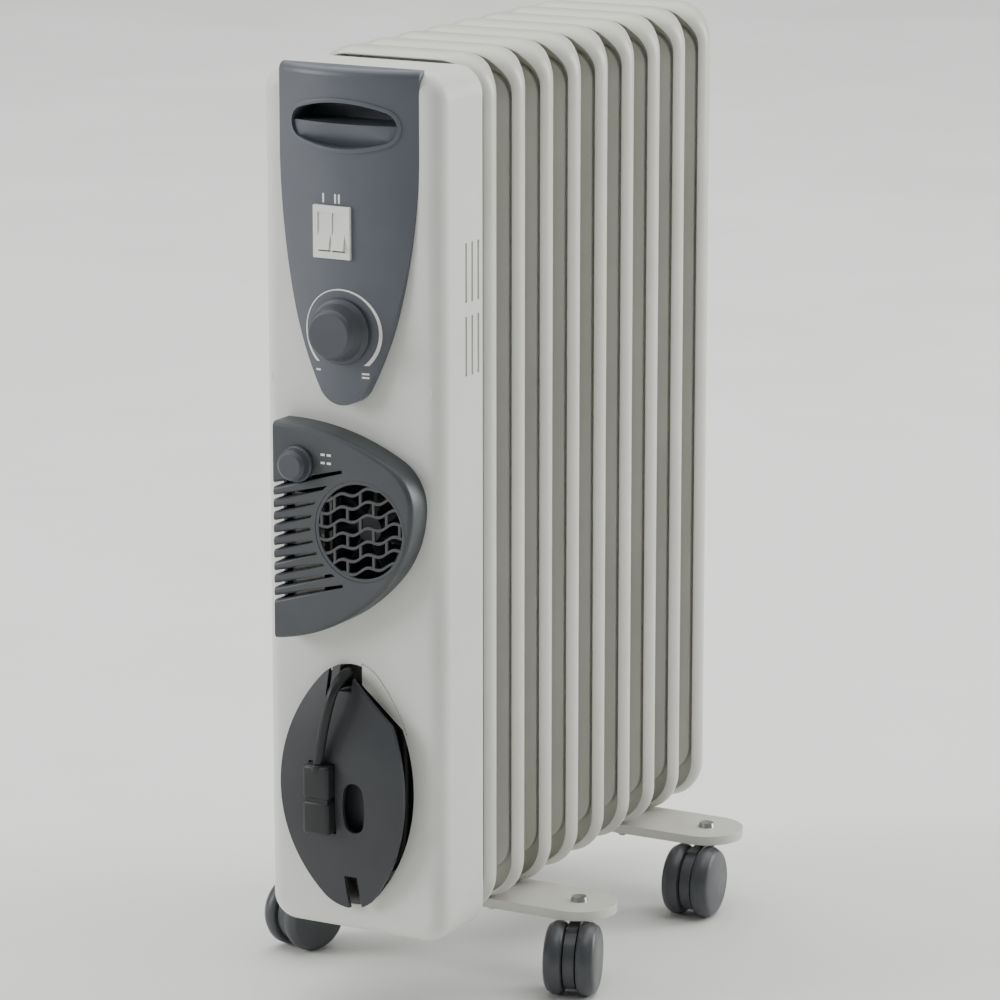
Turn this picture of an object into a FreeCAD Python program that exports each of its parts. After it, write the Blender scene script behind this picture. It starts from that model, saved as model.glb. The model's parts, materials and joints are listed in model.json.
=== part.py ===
"""Oil filled radiator heater with a fan outlet and a wrap-around cord store.

Frame: X to the right seen from the control end, Y from the control end to the last fin, Z up.
The origin is on the floor, under the middle of the heater's box. All sizes are in millimetres.
"""
import FreeCAD, Part
import math
import os
import re

import Sketcher

DRIVING = {
    # control box, in front of the fins
    "front_y": -191.2, "box_half": 66.9, "box_bottom": 57.6, "box_top": 632.0, "box_depth": 54.6,
    "box_edge": 12.5, "box_wall": 2.5, "box_corner": 18.0,
    # fins
    "fin_first": 74.5, "fin_pitch": 39.0, "fin_half": 64.7, "fin_bottom": 58.0, "fin_top": 637.6,
    "fin_corner": 28.0, "fin_band": 17.0, "fin_crown": 3.4, "fin_sheet": 1.0,
    "fin_cap": 36.0, "cap_crown": 2.0,
    "channel_half": 57.0, "channel_low": 78.0, "channel_high": 622.0, "channel_depth": 10.0,
    "channel_corner": 20.0, "channel_wall": 1.3, "channel_skin": 0.6, "window_half": 7.0, "window_step": 32.0,
    "window_low": 172.0, "window_high": 530.0,
    "hub_radius": 28.0, "hub_bore": 26.5, "flange_radius": 27.0, "hub_low_z": 112.0, "hub_high_z": 590.0,
    # control panel
    "panel_half": 51.5, "panel_top": 634.0, "panel_bulge": 12.0, "panel_shoulder": 600.0,
    "knee_x": 38.7, "knee_z": 483.0, "tip_x": 16.4, "tip_z": 426.3,
    "panel_side": 420.0, "panel_flank": 243.0, "tip_round": 18.7,
    "panel_wrap": 7.0, "panel_wall": 2.5, "panel_round": 116.5,
    "grip_half": 40.5, "grip_rise": 16.5, "grip_tip": 12.0, "grip_z": 597.5, "grip_depth": 22.0,
    "grip_shelf": 1.0, "shelf_sink": 1.5, "shelf_slope": 25.0,
    "switch_x": -5.4, "switch_z": 529.0, "switch_wide": 27.0, "switch_tall": 34.0,
    "rocker_wide": 9.0, "rocker_tall": 24.0, "rocker_step": 10.6, "rocker_tilt": 8.0,
    "dial_z": 465.0, "knob_radius": 21.5, "knob_face": 16.5, "knob_rise": 15.0, "spindle": 3.0,
    # fan outlet
    "fan_left": -47.0, "fan_top": 403.0, "fan_bottom": 258.0, "fan_rise": 20.0, "fan_wall": 2.2,
    "grille_x": 17.9, "grille_z": 336.6, "grille_radius": 33.5, "louvre_pitch": 8.4,
    "louvre_gap": 2.2, "louvre_slope": 15.0, "selector_x": -28.5, "selector_z": 377.0,
    "selector_radius": 12.0, "selector_rise": 10.0,
    # cord store
    "store_half": 47.5, "store_tall": 84.0, "store_tip": 26.0, "store_z": 160.0, "store_depth": 34.0,
    "store_plate_rise": 20.0, "store_dome": 260.0,
    "corner_x": -3.3, "corner_z": 241.6, "plate_slope": 41.0, "crescent_start": 7.0,
    "reel_radius": 25.0, "reel_straight": 28.0,
    "cord_radius": 3.5,
    # feet and castors
    "foot_half": 124.0, "foot_wide": 26.0, "foot_low": 51.5, "bolt_rod": 2.5,
    "castor_x": 98.0, "castor_trail": 24.0, "wheel_radius": 25.0, "wheel_inner": 4.5,
    "wheel_width": 13.0, "stem_radius": 3.5, "axle_radius": 3.0,
}
FINS = 9
FRONT_GAP = 2.5       # the front foot sits between fins 2 and 3, in pitches from fin 1's number
REAR_GAP = 7.5        # the rear foot sits between fins 7 and 8
STEER_FRONT = 18.0    # degrees that the front castors stand turned outwards at rest
STEER_REAR = 6.0
FIT = 0.05            # radial clearance of a running fit
SLACK = 0.3           # clearance between pieces that only lie beside each other

doc = FreeCAD.newDocument("oil_radiator")
sheet = doc.addObject("Spreadsheet::Sheet", "sizes")
for row, (alias, number) in enumerate(DRIVING.items(), start=1):
    sheet.set("A%d" % row, alias)
    sheet.set("B%d" % row, str(number))
    sheet.setAlias("B%d" % row, alias)
doc.recompute()

ALIAS = re.compile(r"\b(" + "|".join(sorted(DRIVING, key=len, reverse=True)) + r")\b")
sub_parts = []


# ---------------------------------------------------------------- small helpers
def linked(size):
    """The size as an expression on the sheet's cells."""
    return ALIAS.sub(r"sizes.\1", str(size))


def value(size):
    """The number that a size, given as a number or as words of the sheet, stands for."""
    if isinstance(size, (int, float)):
        return float(size)
    found = sheet.evalExpression(str(size))
    return float(getattr(found, "Value", found))


def bind(thing, prop, size):
    """Ties one property of an object to the sheet."""
    thing.setExpression(prop, linked(size))


def move(thing, x=0, y=0, z=0, axis=(0, 0, 1), turn=0):
    """Places an object: a turn about one axis, then a bound position."""
    spot = FreeCAD.Vector(value(x), value(y), value(z))
    thing.Placement = FreeCAD.Placement(spot, FreeCAD.Rotation(FreeCAD.Vector(*axis), value(turn)))
    for letter, size in zip("xyz", (x, y, z)):
        bound = linked(size) if isinstance(size, str) else None
        thing.setExpression("Placement.Base." + letter, bound)
    return thing


def keep(thing, label):
    """Names a finished sub-part, which is then written to its own file."""
    thing.Label = label
    sub_parts.append(thing)
    return thing


def block(x0, x1, y0, y1, z0, z1):
    """A Part::Box between two corners."""
    made = doc.addObject("Part::Box", "block")
    bind(made, "Length", "(%s) - (%s)" % (x1, x0))
    bind(made, "Width", "(%s) - (%s)" % (y1, y0))
    bind(made, "Height", "(%s) - (%s)" % (z1, z0))
    return move(made, "(%s)" % x0, "(%s)" % y0, "(%s)" % z0)


def rod(radius, length, x=0, y=0, z=0, along="Z"):
    """A Part::Cylinder that starts at a point and runs along one axis."""
    made = doc.addObject("Part::Cylinder", "rod")
    bind(made, "Radius", radius)
    bind(made, "Height", length)
    axis, turn = {"Z": ((0, 0, 1), 0), "Y": ((1, 0, 0), -90), "X": ((0, 1, 0), 90)}[along]
    return move(made, x, y, z, axis, turn)


def cut(base, *tools):
    """The base without the tools, as Part::Cut."""
    made = doc.addObject("Part::Cut", "cut")
    made.Base = base
    made.Tool = tools[0] if len(tools) == 1 else fuse(*tools)
    return made


def fuse(*shapes):
    """All the shapes as one, as Part::MultiFuse."""
    made = doc.addObject("Part::MultiFuse", "fuse")
    made.Shapes = list(shapes)
    return made


def overlap(*shapes):
    """What the shapes share, as Part::MultiCommon."""
    made = doc.addObject("Part::MultiCommon", "overlap")
    made.Shapes = list(shapes)
    return made


def group(*shapes):
    """Separate solids that share one node, as Part::Compound."""
    made = doc.addObject("Part::Compound", "group")
    made.Links = list(shapes)
    return made


def new_body(x=0, y=0, z=0, axis=(0, 0, 1), turn=0):
    """An empty PartDesign body at its place."""
    return move(doc.addObject("PartDesign::Body", "body"), x, y, z, axis, turn)


def new_sketch(body, role, offset=0):
    """A sketch on one of the body's own origin planes."""
    sketch = body.newObject("Sketcher::SketchObject", "sketch")
    plane = [item for item in body.Origin.OriginFeatures if item.Role == role][0]
    sketch.AttachmentSupport = [(plane, "")]
    sketch.MapMode = "FlatFace"
    sketch.AttachmentOffset = FreeCAD.Placement(FreeCAD.Vector(0, 0, value(offset)),
                                                FreeCAD.Rotation())
    return sketch


def fix_point(sketch, geometry, end, point):
    """Ties one end of a sketch line or arc to the sheet."""
    for kind, size in zip(("DistanceX", "DistanceY"), point):
        number = sketch.addConstraint(Sketcher.Constraint(kind, -1, 1, geometry, end, value(size)))
        if isinstance(size, str):
            bind(sketch, "Constraints[%d]" % number, size)


def outline(sketch, points, radii=None):
    """Adds a closed outline through bound points; radii[i] bends the side after point i.

    A positive radius bends the side to the left of its direction's chord, a negative one
    to the right, and None leaves it straight.
    """
    radii = radii or [None] * len(points)
    corners = [FreeCAD.Vector(value(px), value(py), 0) for px, py in points]
    first = sketch.GeometryCount
    for place, start in enumerate(corners):
        stop = corners[(place + 1) % len(corners)]
        if radii[place] is None:
            sketch.addGeometry(Part.LineSegment(start, stop), False)
            continue
        radius = value(radii[place])
        chord = stop - start
        side = FreeCAD.Vector(-chord.y, chord.x, 0).normalize()
        sagitta = abs(radius) - math.sqrt(radius ** 2 - (chord.Length / 2) ** 2)
        middle = (start + stop) * 0.5 + side * math.copysign(sagitta, radius)
        sketch.addGeometry(Part.Arc(start, middle, stop), False)
    for place, point in enumerate(points):
        here = first + place
        before = first + (place - 1) % len(points)
        # an arc drawn clockwise is stored the other way round, so its ends are found by place
        start_end = end_at(sketch, here, corners[place])
        last_end = end_at(sketch, before, corners[place])
        fix_point(sketch, here, start_end, point)
        sketch.addConstraint(Sketcher.Constraint("Coincident", before, last_end, here, start_end))
    for place, radius in enumerate(radii):
        if radius is not None:
            number = sketch.addConstraint(
                Sketcher.Constraint("Radius", first + place, abs(value(radius))))
            if isinstance(radius, str):
                bind(sketch, "Constraints[%d]" % number, "abs(%s)" % radius)
    return sketch


def end_at(sketch, geometry, corner):
    """Which end of a line or arc lies at a corner: 1 for its start, 2 for its end."""
    return 1 if sketch.getPoint(geometry, 1).distanceToPoint(corner) < 0.01 else 2


def circle(sketch, radius, x=0, y=0):
    """Adds a circle with a bound radius and centre."""
    centre = FreeCAD.Vector(value(x), value(y), 0)
    number = sketch.addGeometry(Part.Circle(centre, FreeCAD.Vector(0, 0, 1), value(radius)), False)
    fix_point(sketch, number, 3, (x, y))
    bound = sketch.addConstraint(Sketcher.Constraint("Radius", number, value(radius)))
    bind(sketch, "Constraints[%d]" % bound, radius)
    return sketch


def round_rect(sketch, half, low, high, corner):
    """Adds an upright rectangle about X = 0 with four round corners."""
    near = "%s - (%s)" % (half, corner)
    points = [("-(%s)" % near, low), (near, low), (half, "%s + (%s)" % (low, corner)),
              (half, "%s - (%s)" % (high, corner)), (near, high), ("-(%s)" % near, high),
              ("-(%s)" % half, "%s - (%s)" % (high, corner)),
              ("-(%s)" % half, "%s + (%s)" % (low, corner))]
    bend = "-(%s)" % corner
    return outline(sketch, points, [None, bend, None, bend, None, bend, None, bend])


def extrude(body, kind, sketch, length, middle=False, flip=False):
    """A Pad or a Pocket of a sketch, by a bound length."""
    made = body.newObject("PartDesign::" + kind, kind)
    made.Profile = sketch
    bind(made, "Length", length)
    made.Midplane = middle
    made.Reversed = flip
    return made


def turned(body, points, radii=None):
    """A Revolution about the body's Z axis of a half outline given as (radius, height)."""
    sketch = outline(new_sketch(body, "XZ_Plane"), points, radii)
    made = body.newObject("PartDesign::Revolution", "turned")
    made.Profile = sketch
    made.ReferenceAxis = (sketch, ["V_Axis"])
    made.Angle = 360
    return made


def oval(sketch, half, tall, tip, x=0, z=0, flat=False):
    """Adds a four-arc oval: half and tall are its half sizes, tip the radius at its long ends."""
    half, tall, tip, x, z = (value(size) for size in (half, tall, tip, x, z))
    shift = ((tall - tip) ** 2 - (half - tip) ** 2) / (2 * (half - tip))
    side = half + shift
    reach = math.hypot(shift, tall - tip)
    meet_x = side * shift / reach - shift
    meet_z = side * (tall - tip) / reach
    corners = [(meet_x, -meet_z), (meet_x, meet_z), (-meet_x, meet_z), (-meet_x, -meet_z)]
    radii = [-side, -tip, -side, -tip]
    if flat:
        corners = [(meet_z, meet_x), (-meet_z, meet_x), (-meet_z, -meet_x), (meet_z, -meet_x)]
    points = [(x + px, z + pz) for px, pz in corners]
    return outline(sketch, points, radii)


def slab(draw, y0, y1):
    """A body whose XZ outline, drawn by draw(sketch), reaches from one Y to another."""
    body = new_body(y="(%s)" % y0)
    sketch = draw(new_sketch(body, "XZ_Plane"))
    extrude(body, "Pad", sketch, "(%s) - (%s)" % (y1, y0), flip=True)
    return body


def edges_where(feature, test):
    """Names of the feature's edges whose bounding box passes a test."""
    return ["Edge%d" % (number + 1) for number, edge in enumerate(feature.Shape.Edges)
            if test(edge.BoundBox)]


def soften(body, kind, base, size, test):
    """A Fillet or Chamfer of the edges that pass a test."""
    doc.recompute()
    made = body.newObject("PartDesign::" + kind, kind)
    made.Base = (base, edges_where(base, test))
    bind(made, "Radius" if kind == "Fillet" else "Size", size)
    return made


def front(distance):
    """The Y of a point that far behind the control box's front face."""
    return "front_y + (%s)" % distance


def fin_y(number):
    """The middle plane of one fin, counted from 1; halves stand between two fins."""
    return "front_y + fin_first + fin_pitch * %s" % (number - 1)


# ---------------------------------------------------------------- oil circuit and fins
def draw_channels(sketch, inset):
    """The outline of a fin's pressed oil channels: a ladder with three windows."""
    round_rect(sketch, "channel_half - %s" % inset, "channel_low + %s" % inset,
               "channel_high - %s" % inset, "channel_corner - %s" % inset)
    for step in (-1, 0, 1):
        left = "window_step * %d - window_half - %s" % (step, inset)
        right = "window_step * %d + window_half + %s" % (step, inset)
        low = "window_low - %s" % inset
        high = "window_high + %s" % inset
        outline(sketch, [(left, low), (right, low), (right, high), (left, high)])
    return sketch


def draw_hubs(sketch, radius):
    """The two round hubs through which a fin meets its neighbours."""
    circle(sketch, radius, 0, "hub_low_z")
    return circle(sketch, radius, 0, "hub_high_z")


def crowned_pipe(body, path, wide, crown, height, edges):
    """A thin strip, crowned across its width, that follows some edges of the fin's outline."""
    profile = new_sketch(body, "XY_Plane", height)
    rise = value(crown)
    half = "(%s) / 2" % wide
    bend = (value(half) ** 2 + rise ** 2) / (2 * rise)
    outer = "fin_half - %s" % crown
    outline(profile, [(outer, "-" + half), (outer, half), (outer + " - fin_sheet", half),
                      (outer + " - fin_sheet", "-" + half)], [-bend, None, bend, None])
    pipe = body.newObject("PartDesign::AdditivePipe", "pipe")
    pipe.Profile = profile
    pipe.Spine = (path, ["Edge%d" % edge for edge in edges])


def make_fin(number):
    """One fin: two pressed sheets seam-welded together, a crowned band and a wider top cap."""
    body = new_body(y=fin_y(number))
    web = round_rect(new_sketch(body, "XZ_Plane"), "fin_half - fin_sheet / 2",
                     "fin_bottom + fin_sheet / 2", "fin_top - fin_sheet / 2",
                     "fin_corner - fin_sheet / 2")
    extrude(body, "Pad", web, "fin_sheet", middle=True)
    channels = draw_channels(new_sketch(body, "XZ_Plane"), 0)
    pressed = extrude(body, "Pad", channels, "channel_depth", middle=True)
    half_depth = value("channel_depth") / 2
    soften(body, "Chamfer", pressed, 1.4,
           lambda box: box.YLength < 0.01 and abs(abs(box.YMin) - half_depth) < 0.01)
    hubs = draw_hubs(new_sketch(body, "XZ_Plane"), "hub_radius")
    extrude(body, "Pad", hubs, "fin_pitch", middle=True)
    core = draw_channels(new_sketch(body, "XZ_Plane"), "channel_wall")
    extrude(body, "Pocket", core, "channel_depth - 2 * channel_skin", middle=True)
    bores = draw_hubs(new_sketch(body, "XZ_Plane"), "hub_bore")
    extrude(body, "Pocket", bores, "fin_pitch + 2", middle=True)
    path = new_sketch(body, "XZ_Plane")
    crown_inner = "fin_half - fin_sheet / 2"
    round_rect(path, crown_inner, "fin_bottom + fin_sheet / 2", "fin_top - fin_sheet / 2",
               "fin_corner - fin_sheet / 2")
    crowned_pipe(body, path, "fin_band", "fin_crown",
                 (value("fin_bottom") + value("fin_top")) / 2, range(1, 9))
    crowned_pipe(body, path, "fin_cap", "cap_crown", "fin_top - fin_corner", (4, 5, 6))
    return keep(body, "fin_%d" % number)


def hairpin(radius, offset, name_y0, name_y1):
    """One U-shaped sheathed element in the lower hub, or the room that it takes in the oil."""
    half_gap = 7.0
    made = doc.addObject("Part::Feature", "hairpin")
    y0 = value(name_y0)
    y1 = value(name_y1)
    z = value("hub_low_z")
    low = FreeCAD.Vector(offset, y0, z - half_gap)
    high = FreeCAD.Vector(offset, y0, z + half_gap)
    low_far = FreeCAD.Vector(offset, y1, z - half_gap)
    high_far = FreeCAD.Vector(offset, y1, z + half_gap)
    tip = FreeCAD.Vector(offset, y1 + half_gap, z)
    route = Part.Wire([Part.makeLine(low, low_far),
                       Part.Arc(low_far, tip, high_far).toShape(),
                       Part.makeLine(high_far, high)])
    ring = Part.Wire(Part.makeCircle(radius, low, FreeCAD.Vector(0, 1, 0)))
    made.Shape = route.makePipeShell([ring], True, False)
    return made


def make_oil_circuit():
    """The oil, the immersed elements, their flange, the hub caps and the filler plug."""
    start = "front_y + fin_first - fin_pitch / 2"
    stop = fin_y(FINS) + " + fin_pitch / 2"
    element_end = fin_y(8)
    for side in (-10.0, 10.0):
        hairpins.append(hairpin(4.0, side, front(46.0), element_end))
        rooms.append(hairpin(4.0 + SLACK, side, front(46.0), element_end + " + %s" % SLACK))
    keep(group(*hairpins), "heating_elements")
    columns = []
    for number in range(1, FINS + 1):
        depth = "channel_depth - 2 * channel_skin - %s" % (2 * SLACK)
        body = new_body(y=fin_y(number))
        core = draw_channels(new_sketch(body, "XZ_Plane"), "(channel_wall + %s)" % SLACK)
        extrude(body, "Pad", core, depth, middle=True)
        columns.append(body)
    bore = "hub_bore - %s" % SLACK
    length = "(%s) - (%s) - %s" % (stop, start, 2 * SLACK)
    for z in ("hub_low_z", "hub_high_z"):
        columns.append(rod(bore, length, y="%s + %s" % (start, SLACK), z=z, along="Y"))
    keep(cut(fuse(*columns), *rooms), "heating_oil")
    flange = rod("flange_radius", 5.0, y="%s - 5" % start, z="hub_low_z", along="Y")
    holes = [rod(4.0, 20.0, x=side, y="%s - 12" % start, z="hub_low_z + %s" % rise, along="Y")
             for side in (-10.0, 10.0) for rise in (-7.0, 7.0)]
    keep(cut(flange, *holes), "element_flange")
    caps = [rod("flange_radius", 3.0, y="%s - 3" % start, z="hub_high_z", along="Y"),
            rod("flange_radius", 3.0, y=stop, z="hub_low_z", along="Y")]
    filler_cap = cut(rod("flange_radius", 3.0, y=stop, z="hub_high_z", along="Y"),
                     rod(6.0, 5.0, y="%s - 1" % stop, z="hub_high_z", along="Y"))
    keep(group(*caps, filler_cap), "hub_end_caps")
    plug_head = new_body(y="%s + 3" % stop, z="hub_high_z", axis=(1, 0, 0), turn=-90)
    hexagon = [("%s" % (8 * math.cos(math.radians(60 * turn))),
                "%s" % (8 * math.sin(math.radians(60 * turn)))) for turn in range(6)]
    extrude(plug_head, "Pad", outline(new_sketch(plug_head, "XY_Plane"), hexagon), 4.0)
    plug_shank = rod(6.0, 3.0, y=stop, z="hub_high_z", along="Y")
    keep(fuse(plug_head, plug_shank), "filler_plug")


hairpins = []
rooms = []
for fin_number in range(1, FINS + 1):
    make_fin(fin_number)
make_oil_circuit()


# ---------------------------------------------------------------- control box
def cover_block(inset, y0, y1):
    """The control box as a solid: rounded in front, square behind."""
    def draw(sketch):
        return round_rect(sketch, "box_half - %s" % inset, "box_bottom + %s" % inset,
                          "box_top - %s" % inset, "box_corner - %s" % inset)
    body = slab(draw, y0, y1)
    soften(body, "Fillet", body.Tip, "box_edge - %s" % inset,
           lambda box: box.YMax < 0.01)
    return body


def draw_panel(sketch, inset=0):
    """The control panel's shield outline: square at the top, drawn in to a round tip."""
    top = "panel_top - %s" % inset
    wide = "panel_half - %s" % inset
    knee = "knee_x - %s" % inset
    tip = "tip_x - 0.877 * %s" % inset
    tip_z = "tip_z + 0.48 * %s" % inset
    points = [("-(%s)" % wide, "panel_shoulder"), ("-(%s)" % knee, "knee_z"),
              ("-(%s)" % tip, tip_z), (tip, tip_z), (knee, "knee_z"), (wide, "panel_shoulder"),
              (wide, top), ("-(%s)" % wide, top)]
    side = -value("panel_side")
    flank = -value("panel_flank") + inset
    return outline(sketch, points, [side, flank, -value("tip_round") + inset, flank, side,
                                    None, None, None])


def draw_fan(sketch, inset=0.0):
    """The fan outlet's D outline, straight on the left."""
    left = value("fan_left") + inset
    points = [(left, value("fan_bottom") + inset), (38.8 - inset * 0.64, 304.3 + inset * 0.77),
              (56.3 - inset, 352.5), (40 - inset * 0.52, 381.5 - inset * 0.85),
              (left, value("fan_top") - inset * 1.1)]
    radii = [-(132.5 - inset), -(75 - inset), -(34 - inset), -(166 - inset), None]
    return outline(sketch, points, radii)


def draw_store(sketch, inset=0.0):
    """The cord store's upright oval."""
    return oval(sketch, value("store_half") - inset, value("store_tall") - inset,
                value("store_tip") - inset, 0, "store_z")


def plate_corner(shift=0.0):
    """The half plane above the plate's sloping upper right edge, moved across it by a shift."""
    slope = math.radians(value("plate_slope"))
    made = block(0, 90, 0, 30, 0, 60)
    return move(made, "corner_x + %s" % (shift * math.sin(slope)), front(-24),
                "corner_z + %s" % (shift * math.cos(slope)), (0, 1, 0), "plate_slope")


def crescent(gap):
    """The part of the store's oval that the cover keeps, grown by a gap on its open sides."""
    return overlap(plate_corner(-3.0 - gap),
                   block("crescent_start - %s" % gap, 60, front(-24), front(6), 150, 260))


def switch_box(grow, y0, y1):
    """The double switch's place in the panel, as a block."""
    half_wide = "(switch_wide / 2 + %s)" % grow
    half_tall = "(switch_tall / 2 + %s)" % grow
    return block("switch_x - " + half_wide, "switch_x + " + half_wide, y0, y1,
                 "switch_z - " + half_tall, "switch_z + " + half_tall)


def make_cover():
    """The front cover: a thin shell with its openings, side vents and screw posts."""
    outer = cover_block(0, front(0), front("box_depth"))
    inner = cover_block("box_wall", front("box_wall"), front("box_depth + 5"))
    tools = [inner,
             block(-38, 38, front(-1), front(4), 504, 615),
             block("-grip_half - 0.8", "grip_half + 0.8", front(-1), front(4), 579, 615),
             rod(22.0, 5.0, y=front(-1), z="dial_z", along="Y"),
             slab(lambda sketch: draw_fan(sketch, 5.0), front(-1), front(4)),
             cut(slab(draw_store, front(-1), front(4)), crescent(0.0)),
             overlap(cut(slab(lambda sketch: draw_store(sketch, -0.4), front(-1), front(0.8)),
                         slab(lambda sketch: draw_store(sketch, 0.4), front(-2), front(2))),
                     crescent(0.0))]
    for y in (33.0, 41.0, 49.0):
        for low, high in ((434.0, 473.0), (482.0, 521.0)):
            tools.append(block("-box_half - 1", "box_half + 1", front(y - 1.2), front(y + 1.2),
                               low, high))
    shell = cut(outer, *tools)
    posts = [cut(rod(4.0, "box_depth - 3.0 - 0.5", x=x, y=front(0.5), z=z, along="Y"),
                 rod(1.6, 14.0, x=x, y=front("box_depth - 16"), z=z, along="Y"))
             for x, z in SCREWS]
    keep(fuse(shell, *posts), "front_cover")


def make_rear_cover():
    """The sheet steel back of the control box, with room for the two hubs, and its screws."""
    def draw(sketch):
        return round_rect(sketch, "box_half - box_wall - %s" % SLACK,
                          "box_bottom + box_wall + %s" % SLACK,
                          "box_top - box_wall - %s" % SLACK, 15.0)
    plate = slab(draw, front("box_depth - 3.0"), front("box_depth - 1.0"))
    holes = [rod("flange_radius + 0.6", 10.0, y=front("box_depth - 8"), z=z, along="Y")
             for z in ("hub_low_z", "hub_high_z")]
    holes += [rod(1.8, 10.0, x=x, y=front("box_depth - 8"), z=z, along="Y") for x, z in SCREWS]
    keep(cut(plate, *holes), "rear_cover")
    screws = []
    for x, z in SCREWS:
        head = rod(3.2, 1.8, x=x, y=front("box_depth - 1.0"), z=z, along="Y")
        shank = rod(1.5, 12.0, x=x, y=front("box_depth - 13.0"), z=z, along="Y")
        screws.append(fuse(head, shank))
    keep(group(*screws), "cover_screws")


SCREWS = [(-54.0, 612.0), (54.0, 612.0), (-56.0, 428.0), (56.0, 428.0), (-54.0, 84.0), (54.0, 84.0)]
make_cover()
make_rear_cover()


# ---------------------------------------------------------------- control panel
def panel_solid(sink, y0, y1, draw):
    """An outline's prism whose front is rounded like the panel, sink below its surface."""
    round_front = rod("panel_round - %s" % sink, 260.0,
                      y=front("panel_round - panel_bulge"), z=400.0)
    return overlap(slab(draw, y0, y1), round_front)


def make_panel():
    """The dark control panel, wrapped over the top edge of the cover, and the grip cup."""
    outside = panel_solid(0.0, front("-panel_bulge - 1"), front("panel_wrap"), draw_panel)
    inside = panel_solid("panel_wall", front("-panel_bulge - 1"), front("panel_wrap + 1"),
                         lambda sketch: draw_panel(sketch, value("panel_wall")))
    seat = cover_block(0, front(0), front("box_depth"))
    tools = [inside, seat, slab(draw_grip, front("-panel_bulge - 2"), front(10)),
             switch_box(FIT, front("-panel_bulge - 5"), front(10)),
             rod(5.0, 12.0, y=front("-panel_bulge - 2"), z="dial_z", along="Y")]
    keep(cut(outside, *tools), "control_panel")
    cup = panel_solid(0.3, front("-panel_bulge - 1"), front("grip_depth"), draw_grip)
    hollow = slab(lambda sketch: draw_grip(sketch, 2.0), front("-panel_bulge - 2"),
                  front("grip_depth - 2.0"))
    shelf = overlap(panel_solid("shelf_sink", front("-panel_bulge"), front("grip_depth - 1.9"),
                                lambda sketch: draw_grip(sketch, 1.9)),
                    block(-45, 45, front("-panel_bulge"), front("grip_depth"), 578,
                          "grip_z + grip_shelf"))
    tilt = math.radians(value("shelf_slope"))
    deep = 20.0
    tall = 30.0
    slope = move(block(-45, 45, 0, deep, 0, tall), -45,
                 value(front("shelf_sink - panel_bulge")) - deep * math.cos(tilt)
                 + tall * math.sin(tilt),
                 value("grip_z + grip_shelf") - deep * math.sin(tilt) - tall * math.cos(tilt),
                 (1, 0, 0), "shelf_slope")
    keep(fuse(cut(cup, hollow), cut(shelf, slope)), "grip_cup")


def draw_grip(sketch, inset=0.0):
    """The grip's lying oval."""
    return oval(sketch, "grip_rise - %s" % inset, "grip_half - %s" % inset,
                "grip_tip - %s" % inset, 0, "grip_z", flat=True)


def make_switch():
    """The double rocker switch: its housing and two rockers, shown switched off."""
    lead = "-panel_bulge - 2.0"
    body = switch_box(0, front(lead), front(14.0))
    tools = []
    pivot = front(lead + " + 4.0")
    for side in (-0.5, 0.5):
        x = "(switch_x + rocker_step * %s)" % side
        tools.append(block(x + " - rocker_wide / 2 - 0.25", x + " + rocker_wide / 2 + 0.25",
                           front(lead + " - 1"), front(4.0),
                           "switch_z - rocker_tall / 2 - 0.6", "switch_z + rocker_tall / 2 + 0.6"))
        tools.append(rod(1.2 + FIT, "rocker_wide + 1.4", x=x + " - rocker_wide / 2 - 0.7",
                         y=pivot, z="switch_z", along="X"))
    keep(cut(body, *tools), "switch_housing")
    for side, label in ((-0.5, "rocker_left"), (0.5, "rocker_right")):
        rocker = new_body("switch_x + rocker_step * %s" % side, pivot, "switch_z", (1, 0, 0),
                          -value("rocker_tilt"))
        half = "rocker_tall / 2"
        sketch = new_sketch(rocker, "YZ_Plane")
        outline(sketch, [(-5.0, "-(%s)" % half), (-3.4, 0), (-5.0, half), (-1.5, half),
                         (3.0, 3.0), (3.0, -3.0), (-1.5, "-(%s)" % half)][::-1])
        extrude(rocker, "Pad", sketch, "rocker_wide", middle=True)
        pin = new_sketch(rocker, "YZ_Plane")
        circle(pin, 1.2)
        extrude(rocker, "Pad", pin, "rocker_wide + 1.2", middle=True)
        keep(rocker, label)


def make_thermostat():
    """The thermostat: knob, spindle and the body behind the panel."""
    knob = new_body(y=front("-panel_bulge - 0.8"), z="dial_z", axis=(1, 0, 0), turn=90)
    turned(knob, [("spindle + 0.03", 0), ("knob_radius", 0), ("knob_radius", 1.6),
                  ("knob_face + 2.2", 2.6), ("knob_face", "knob_rise - 2.0"),
                  ("knob_face - 2.0", "knob_rise"), (0, "knob_rise"), (0, "knob_rise - 4.0"),
                  ("spindle + 0.03", "knob_rise - 4.0")])
    keep(knob, "thermostat_knob")
    spindle = rod("spindle", 20.0, y=front("-panel_bulge - knob_rise + 3.4"), z="dial_z",
                  along="Y")
    keep(spindle, "thermostat_spindle")
    case = block(-17, 17, front("-panel_bulge + panel_wall + 2.2"), front(12.0), "dial_z - 14",
                 "dial_z + 14")
    bore = rod("spindle + %s" % FIT, 30.0, y=front("-panel_bulge - 2"), z="dial_z", along="Y")
    keep(cut(case, bore), "thermostat_body")


make_panel()
make_switch()
make_thermostat()


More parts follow.
